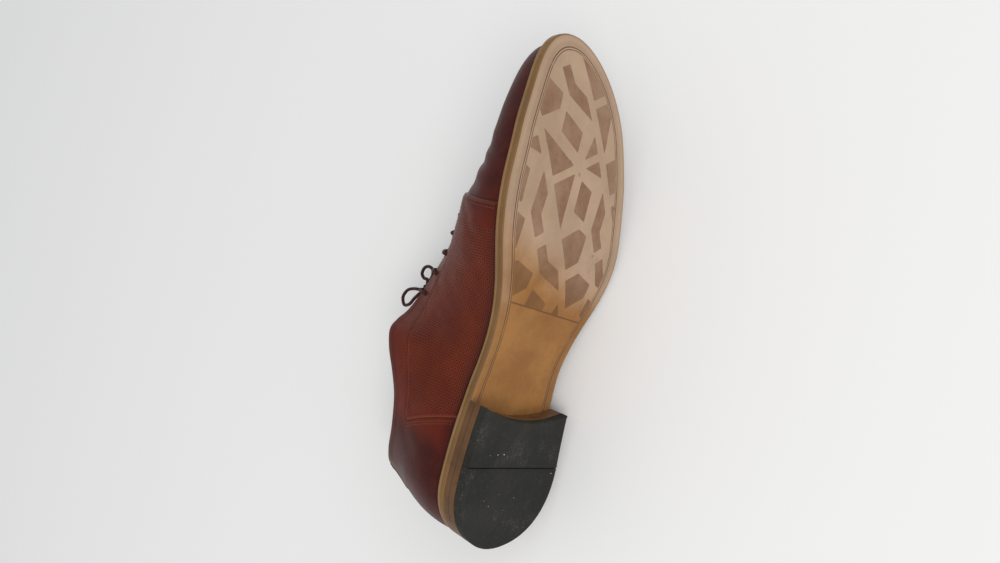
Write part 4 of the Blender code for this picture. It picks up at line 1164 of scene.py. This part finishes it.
def sole_slab(name, low, high, edge, finishes, node, insets=None, extra=0.0, count=431,
              across=118, tread=False):
    """A layer of the sole: straight rows across it, with half-round edges.

    Each row runs over the underside from lateral to medial, round the medial edge, back over the
    top and round the lateral edge. An edge point stands in by edge * (1 - cos a).
    """
    rows = {side: sole_side(side, insets, extra, count, 0.55) for side in (1, -1)}
    x = rows[1][0][:, 0]
    thick = high(x) - low(x)
    edge = np.minimum(edge, thick / 2)
    angle = np.linspace(0.0, np.pi / 2, 5)

    def ring(side, at, upper_half):
        """A point of the rounded edge: at is its angle from straight down or straight up."""
        points, normal, _ = rows[side]
        inset = edge * (1.0 - math.sin(at))
        spot = points - normal * inset[:, None]
        lift = edge * (1.0 - math.cos(at))
        z = high(x) - lift if upper_half else low(x) + lift
        return np.c_[spot, z]

    share = np.linspace(0.0, 1.0, across)[:, None, None]
    bottom = (1 - share) * ring(1, 0.0, False)[None] + share * ring(-1, 0.0, False)[None]
    few = np.linspace(0.0, 1.0, 7)[:, None, None]
    top = (1 - few) * ring(-1, 0.0, True)[None] + few * ring(1, 0.0, True)[None]
    down_m = np.stack([ring(-1, a, False) for a in angle[1:]])
    up_m = np.stack([ring(-1, a, True) for a in angle[:0:-1]])
    down_l = np.stack([ring(1, a, True) for a in angle[1:]])
    up_l = np.stack([ring(1, a, False) for a in angle[:0:-1]])
    loop = np.concatenate([bottom, down_m, up_m, top, down_l, up_l]).transpose(1, 0, 2)
    columns = loop.shape[1]
    faces = grid_quads(count, columns, 0, wrap=True)
    column = np.tile(np.arange(columns), count - 1)
    kinds = np.where(column < across - 1, 0, 1)
    flat = loop.reshape(-1, 3)
    fields = {"layer": flat[:, 2] - np.asarray(low(flat[:, 0])), "seam": np.zeros(len(flat))}
    if tread:
        fields.update(tread_fields(flat))
    return make_piece(name, flat, faces, finishes, kinds, fields, node=node,
                      sharp=60.0)


def tread_fields(points):
    """Distances on the sole's face: in from its edge, from the channel, from the waist line."""
    outline = np.concatenate([sole_side(s, None, 0.0, 700, 0.6)[0] for s in (1, -1)])
    plan = points[:, :2]
    rim = np.empty(len(plan))
    for a in range(0, len(plan), 4000):
        part = plan[a:a + 4000]
        rim[a:a + 4000] = np.sqrt(((part[:, None] - outline[None])**2).sum(axis=2).min(axis=1))
    along = plan[:, 0] / LENGTH
    channel = rim - inset_depth(CHANNEL, along)
    lateral, medial = np.array(WAIST_LINE)
    run = (medial - lateral) / np.linalg.norm(medial - lateral)
    waist = -((plan - lateral) @ np.array([run[1], -run[0]]))
    drift = 0.16 * np.clip(-plan[:, 1] / BALL_WIDTH, -0.5, 0.5)
    stand = ease((along - 0.44 - drift) / 0.26)
    stand = np.maximum(stand, 0.45 * ease((0.010 - rim) / 0.004) * ease((along - 0.40) / 0.15))
    printed = np.where(plan[:, 0] > PRINT_START, signed_distance(plan, print_shapes()), -0.01)
    return {"rim": rim, "channel": channel, "waist": waist, "stand": stand, "print": printed}


def heel_line(line, shift, count=25):
    """Points of a line across the heel, lateral to medial, moved along the shoe by shift."""
    ends = np.array([line.lateral, line.medial])
    lateral, medial = plan_centre(ends) + np.array([1, -1]) * plan_half(ends)
    t = np.linspace(0.0, 1.0, count)
    along = line.lateral + (line.medial - line.lateral) * t - line.bow * 4 * t * (1 - t)
    return np.c_[along * LENGTH + shift, lateral + (medial - lateral) * t]


def heel_outline(back_line, front_line):
    """Closed outline of a piece of the heel between two lines; without a back line it is round."""
    edges = {}
    for side, name in ((1, "lateral"), (-1, "medial")):
        points = sole_side(side, None, 0.0, 361)[0]
        stop = getattr(front_line, name) * LENGTH - 0.001
        start = getattr(back_line, name) * LENGTH + GAP + 0.001 if back_line else -1.0
        edges[side] = points[(points[:, 0] > start) & (points[:, 0] < stop)]
    front = heel_line(front_line, 0.0 if front_line is BREAST else -GAP / 2)
    outline = [edges[1], front, edges[-1][::-1]]
    if back_line:
        outline.append(heel_line(back_line, GAP / 2)[::-1])
    outline = np.concatenate(outline)
    return outline[np.linalg.norm(outline - np.roll(outline, 1, axis=0), axis=1) > 1e-6]


def heel_block(name, outline, low, high, round_low, round_high, finish, node, seams=()):
    """A flat-ended block over an outline, its rims rounded, its faces filled by rings.

    An edge point stands in from the outline by the rounding times 1 - sin a. The faces are the
    outline drawn towards its middle.
    """
    ahead, behind = np.roll(outline, -1, axis=0), np.roll(outline, 1, axis=0)
    tangent = ahead - behind
    tangent /= np.linalg.norm(tangent, axis=1)[:, None]
    normal = np.c_[tangent[:, 1], -tangent[:, 0]]
    middle = outline.mean(axis=0)
    if ((outline - middle) * normal).sum() < 0:
        normal = -normal
    rings = []
    angle = np.linspace(0.0, np.pi / 2, 4)
    shrink = np.linspace(0.0, 1.0, 12)[:-1]
    inner = outline - normal * round_low
    for k in shrink[::-1]:
        rings.append(np.c_[middle + (inner - middle) * (1 - k), np.full(len(outline), low)])
    for a in angle[1:]:
        rings.append(np.c_[outline - normal * round_low * (1 - math.sin(a)),
                           np.full(len(outline), low + round_low * (1 - math.cos(a)))])
    for z in np.linspace(low + round_low, high - round_high, 22)[1:]:
        rings.append(np.c_[outline, np.full(len(outline), z)])
    inner = outline - normal * round_high
    for a in angle[::-1][1:]:
        rings.append(np.c_[outline - normal * round_high * (1 - math.sin(a)),
                           np.full(len(outline), high - round_high * (1 - math.cos(a)))])
    for k in shrink[1:]:
        rings.append(np.c_[middle + (inner - middle) * (1 - k), np.full(len(outline), high)])
    centre = [np.tile(np.r_[middle, low], (len(outline), 1))]
    rings = centre + rings + [np.tile(np.r_[middle, high], (len(outline), 1))]
    points = np.stack(rings)
    faces = grid_quads(len(rings), len(outline), 0, wrap=True)
    flat = points.reshape(-1, 3)
    seam = np.zeros(len(flat))
    for height in seams:
        seam = np.maximum(seam, np.exp(-((flat[:, 2] - height) / 0.00025)**2))
    return make_piece(name, flat, faces, (finish,), fields={"layer": flat[:, 2], "seam": seam},
                      node=node, sharp=55.0)


# Lace and tongue

def eyelet_level(place, side):
    """Level on a section at which a lace hole stands, EYELET_INSET from the facing's edge."""
    levels = np.linspace(0.5, 1.0, 200)
    line = upper_surface(np.array([place]), levels, side)[0]
    to_edge = np.linalg.norm(np.diff(line, axis=0), axis=1)[::-1].cumsum()[::-1]
    return float(levels[int(np.argmin(np.abs(to_edge - EYELET_INSET)))])


def eyelet(place, side):
    """Centre and outward normal of a lace hole."""
    level = np.array([eyelet_level(place, side)])
    return (upper_surface(np.array([place]), level, side)[0, 0],
            upper_normal(np.array([place]), level, side)[0, 0])


def punch_eyelets(upper):
    """Cuts the ten lace holes through the facings."""
    drill = bmesh.new()
    for place in LACE_ROWS:
        for side in (1, -1):
            centre, normal = eyelet(place, side)
            turn = Vector(PLACED.directions(normal)).to_track_quat("Z", "Y").to_matrix().to_4x4()
            bmesh.ops.create_cone(drill, cap_ends=True, segments=20, radius1=EYELET_RADIUS,
                                  radius2=EYELET_RADIUS, depth=6 * WALL,
                                  matrix=Matrix.Translation(PLACED.points(centre)) @ turn)
    mesh = bpy.data.meshes.new("drill")
    drill.to_mesh(mesh)
    drill.free()
    cutter = bpy.data.objects.new("drill", mesh)
    bpy.context.scene.collection.objects.link(cutter)
    holes = upper.modifiers.new("eyelets", "BOOLEAN")
    holes.operation, holes.solver, holes.object = "DIFFERENCE", "EXACT", cutter
    done = bpy.data.meshes.new_from_object(
        upper.evaluated_get(bpy.context.evaluated_depsgraph_get()))
    upper.modifiers.clear()
    upper.data = done
    bpy.data.objects.remove(cutter, do_unlink=True)


def spaced(points, count):
    """The smooth curve through the points, at even steps of their chords."""
    points = np.asarray(points, float)
    walk = np.r_[0.0, np.cumsum(np.linalg.norm(np.diff(points, axis=0), axis=1))]
    line = smooth(walk, points, np.linspace(0.0, walk[-1], 6 * count))
    run = np.r_[0.0, np.cumsum(np.linalg.norm(np.diff(line, axis=0), axis=1))]
    at = np.linspace(0.0, run[-1], count)
    return np.column_stack([np.interp(at, run, line[:, k]) for k in range(3)])


def carried_normals(path, start):
    """Normals carried along a path without twist, from one station to the next."""
    tangent = np.gradient(path, axis=0)
    tangent /= np.linalg.norm(tangent, axis=1)[:, None]
    normals = [np.asarray(start, float)]
    for t in tangent:
        n = normals[-1] - t * (normals[-1] @ t)
        normals.append(n / np.linalg.norm(n))
    return np.array(normals[1:])


def lace_radii(count, radius, rounded=3):
    """Even radius, rounded off over the last stations at both ends."""
    end = np.minimum(np.arange(count), np.arange(count)[::-1])
    return radius * np.sqrt(np.clip(1.0 - (1.0 - np.clip((end + 0.6) / rounded, 0, 1))**2, 0, 1))


def build_laces(sides):
    """The five crossings, each through its two eyelets, and where the knot stands."""
    lift = OVERLAY_STEP + LACE_RADIUS + 2 * GAP
    for number, place in enumerate(LACE_ROWS, 1):
        halves = []
        for side in (1, -1):
            level = eyelet_level(place, side)
            centre, normal = eyelet(place, side)
            levels = np.linspace(level, 1.0, 5)
            line = upper_surface(np.array([place]), levels, side)[0]
            across = upper_normal(np.array([place]), levels, side)[0]
            line = line + across * lift
            inside = centre - normal * (WALL + 0.0004)
            shoulder = centre + normal * (0.55 * lift)
            halves.append(np.concatenate([[inside], [shoulder], line[1:]]))
        lateral, medial = halves
        middle = (lateral[-1] + medial[-1]) / 2 + (0.0, 0.0, 2 * GAP)
        route = spaced(np.vstack([lateral, middle[None], medial[::-1]]), 72)
        make_tubes(f"lace_crossing_{number}", route[None],
                   carried_normals(route, (1.0, 0.0, 0.0))[None],
                   lace_radii(72, LACE_RADIUS)[None], 16, LACE, node=f"lace_bar_{number}")
    return middle + (0.0, 0.0, LACE_RADIUS + KNOT_HALF_SIZE[2] + 2 * GAP)


def build_bow(knot):
    """The knot as an overhand turn of lace, its two loops, and its two ends with their tips."""
    t = np.linspace(0.0, 2 * np.pi, 121)[:-1]
    turn = np.c_[np.sin(t) + 2 * np.sin(2 * t), np.cos(t) - 2 * np.cos(2 * t), -np.sin(3 * t)]
    span = np.array(KNOT_HALF_SIZE) - LACE_RADIUS
    coil = knot + turn / np.abs(turn).max(axis=0) * span
    ring = np.concatenate([coil, coil[:1]])
    outward = ring - knot
    make_tubes("lace_knot_turns", ring[None], outward[None],
               np.full((1, len(ring)), LACE_RADIUS), 14, LACE, node="lace_knot")
    for name, table in (("lace_loop_back", BACK_LOOP), ("lace_loop_front", FRONT_LOOP),
                        ("lace_end_back", BACK_END), ("lace_end_front", FRONT_END)):
        points = knot + np.array([(p.along * LENGTH, p.across * BALL_WIDTH, p.up * INSTEP_HEIGHT)
                                  for p in table])
        is_end = "end" in name
        route = spaced(points, 60)
        piece = make_tubes(name + "_lace", route[None],
                           carried_normals(route, (0.0, 0.0, 1.0))[None],
                           lace_radii(len(route), LACE_RADIUS, 2)[None], 16, LACE, node=name)
        if is_end:
            tip = route[-16:]
            swell = LACE_RADIUS * np.interp(np.arange(16), [0, 1, 13, 15], [1.02, 1.06, 1.06, 0.7])
            make_tubes(name + "_tip", tip[None],
                                    carried_normals(tip, (0.0, 0.0, 1.0))[None], swell[None], 16,
                                    TIP)


def build_tongue():
    """The tongue: a soft sheet under the facings, thinned towards its rounded edges, past the collar.
    """
    depth = WALL + 2.2 * GAP
    rows = []
    for place in np.linspace(TONGUE_FRONT, TONGUE_BACK, 15):
        edges = []
        for side, levels in ((1, TONGUE_LEVELS), (-1, TONGUE_LEVELS[::-1])):
            p = upper_surface(np.array([place]), np.array(levels), side)[0]
            n = upper_normal(np.array([place]), np.array(levels), side)[0]
            edges += list(p - n * depth)
        middle = (edges[2] + edges[3]) / 2 + (0.0, 0.0, -GAP)
        across = [edges[0], edges[1], middle, edges[4], edges[5]]
        rows.append(smooth([0.0, 0.25, 0.5, 0.75, 1.0], across, np.linspace(0, 1, 9)))
    last, step = rows[-1], rows[-1] - rows[-2]
    for tip in TONGUE_TIP:
        row = last + step * tip.steps
        rows.append(row.mean(axis=0) + (row - row.mean(axis=0)) * tip.width)
    rows = np.array(rows)
    fine = smooth(np.arange(len(rows)), rows, np.linspace(0, len(rows) - 1, 110))
    fine = smooth(np.arange(9), fine.transpose(1, 0, 2), np.linspace(0, 8, 56)).transpose(1, 0, 2)
    along, over = np.gradient(fine, axis=0), np.gradient(fine, axis=1)
    normal = np.cross(along, over)
    normal /= np.linalg.norm(normal, axis=2)[..., None]
    if normal[..., 2].sum() < 0:
        normal = -normal
    v = np.linspace(0.0, 1.0, 56)[None, :]
    u = np.linspace(0.0, 1.0, 110)[:, None]
    roll = np.minimum(ease(v / 0.05), ease((1 - v) / 0.05)) * ease((1 - u) / 0.025)
    wave = 0.00025 * np.sin(u * 34) * np.sin(v * 5 + 1)
    half = TONGUE_THICK / 2 * (0.35 + 0.65 * roll)
    middle = fine - normal * TONGUE_THICK / 2
    outer = middle + normal * half[..., None]
    inner = middle - normal * (half + np.abs(wave) * 0.3)[..., None]
    strip = np.concatenate([outer, inner[:, ::-1]], axis=1)
    rows_n, columns = strip.shape[:2]
    faces = [grid_quads(rows_n, columns, 0, wrap=True)]
    for row in (0, rows_n - 1):
        a = row * columns + np.arange(55)
        b = row * columns + columns - 1 - np.arange(55)
        cap = np.stack([a, a + 1, b - 1, b], axis=1)
        faces.append(cap if row == 0 else cap[:, ::-1])
    faces = np.concatenate(faces)
    column = np.concatenate([np.tile(np.arange(columns), rows_n - 1), np.zeros(110, int)])
    count = rows_n * columns
    kinds = np.where((column > 56) & (column < columns - 1), 1, 0)
    zero = np.zeros(count)
    fields = {"burnish": np.full(count, 0.35), "panel": zero - 1.0, "groove": zero, "edge": zero}
    make_piece("tongue_leather", strip.reshape(-1, 3), faces, (LEATHER, LINING), kinds, fields,
               {"side": strip.reshape(-1, 3)[:, :2]}, node="tongue")


# The stage

def area_light(name, place, aim, size, power, tone=(1.0, 1.0, 1.0)):
    light = bpy.data.lights.new(name, "AREA")
    light.shape, light.size, light.energy, light.color = "DISK", size, power, tone
    lamp = bpy.data.objects.new(name, light)
    lamp.location = place
    lamp.rotation_mode = "QUATERNION"
    lamp.rotation_quaternion = (Vector(aim) - Vector(place)).to_track_quat("-Z", "Y")
    bpy.context.scene.collection.objects.link(lamp)


def build_stage():
    """A pale floor, a soft sky, a large soft light over the shoe and a weaker one beside it."""
    size, rows = 40.0, 3
    line = np.linspace(-size / 2, size / 2, rows)
    points = np.array([(x, y, 0.0) for x in line for y in line])
    mesh = bpy.data.meshes.new("floor")
    mesh.from_pydata(points.tolist(), [], grid_quads(rows, rows)[:, ::-1].tolist())
    mesh.materials.append(pale_floor())
    floor = bpy.data.objects.new("floor", mesh)
    bpy.context.scene.collection.objects.link(floor)
    world = bpy.data.worlds.new("soft sky")
    world.use_nodes = True
    sky = world.node_tree.nodes["Background"]
    sky.inputs["Color"].default_value = rgb(0.98, 0.99, 1.0)
    sky.inputs["Strength"].default_value = 0.62
    bpy.context.scene.world = world
    bpy.context.scene.view_settings.view_transform = "Standard"
    area_light("soft key", (-0.5, -1.0, 1.5), (0.0, 0.0, 0.05), 1.1, 11.0, (1.0, 0.985, 0.96))
    area_light("fill", (1.2, -0.9, 0.8), (0.0, 0.0, 0.05), 1.2, 3.5)


def build_camera():
    """The photograph's viewpoint in the shoe's frame, turned to look at the middle of the shoe."""
    eye = PLACED.points(EYE)
    picture_up = PLACED.directions(PICTURE_UP)
    aim = PLACED.points(AIM)
    ahead = (aim - eye) / np.linalg.norm(aim - eye)
    right = np.cross(ahead, picture_up)
    right /= np.linalg.norm(right)
    top = np.cross(right, ahead)
    camera = bpy.data.objects.new("camera", bpy.data.cameras.new("camera"))
    camera.data.sensor_width = SENSOR_MM
    camera.data.lens = LENS_MM
    camera.data.clip_start = 0.01
    turn = Matrix(np.column_stack([right, top, -ahead]).tolist()).to_4x4()
    camera.matrix_world = Matrix.Translation(Vector(eye)) @ turn
    bpy.context.scene.collection.objects.link(camera)
    bpy.context.scene.camera = camera


# The shoe

build_camera()
build_stage()
SIDES = upper_grids()
UPPER = build_upper(SIDES)
punch_eyelets(UPPER)
build_seams(SIDES)
build_tongue()
build_bow(build_laces(SIDES))

sole_slab("outsole_leather", under, lambda x: under(x) + OUTSOLE_THICK, 0.0007,
          (TREAD, SOLE_EDGE), "outsole", tread=True)
sole_slab("welt_leather", lambda x: under(x) + OUTSOLE_THICK + GAP, sole_top, 0.0006,
          (WELT_EDGE, WELT_EDGE), "midsole", extra=GAP, across=9)
sole_slab("insole_sock", lambda x: sole_top(x) + GAP, lambda x: sole_top(x) + GAP + INSOLE_THICK,
          0.0006, (LINING, LINING), "insole", insets=FEATHER,
          extra=WALL + 3 * GAP, across=9, count=201)

LIFT_LOW = TOP_PIECE_THICK + GAP
heel_block("heel_lift_leather", heel_outline(None, BREAST), LIFT_LOW, LIFT_LOW + LIFT_THICK,
           0.0002, 0.0003, HEEL_EDGE, "heel_lift",
           (LIFT_LOW + 0.52 * LIFT_THICK,))
heel_block("heel_rubber_rear", heel_outline(None, JOINT), 0.0, TOP_PIECE_THICK, 0.0008, 0.0002,
           RUBBER, "heel_top_rear")
heel_block("heel_rubber_front", heel_outline(JOINT, BREAST), 0.0, TOP_PIECE_THICK, 0.0008, 0.0002,
           RUBBER, "heel_top_front")
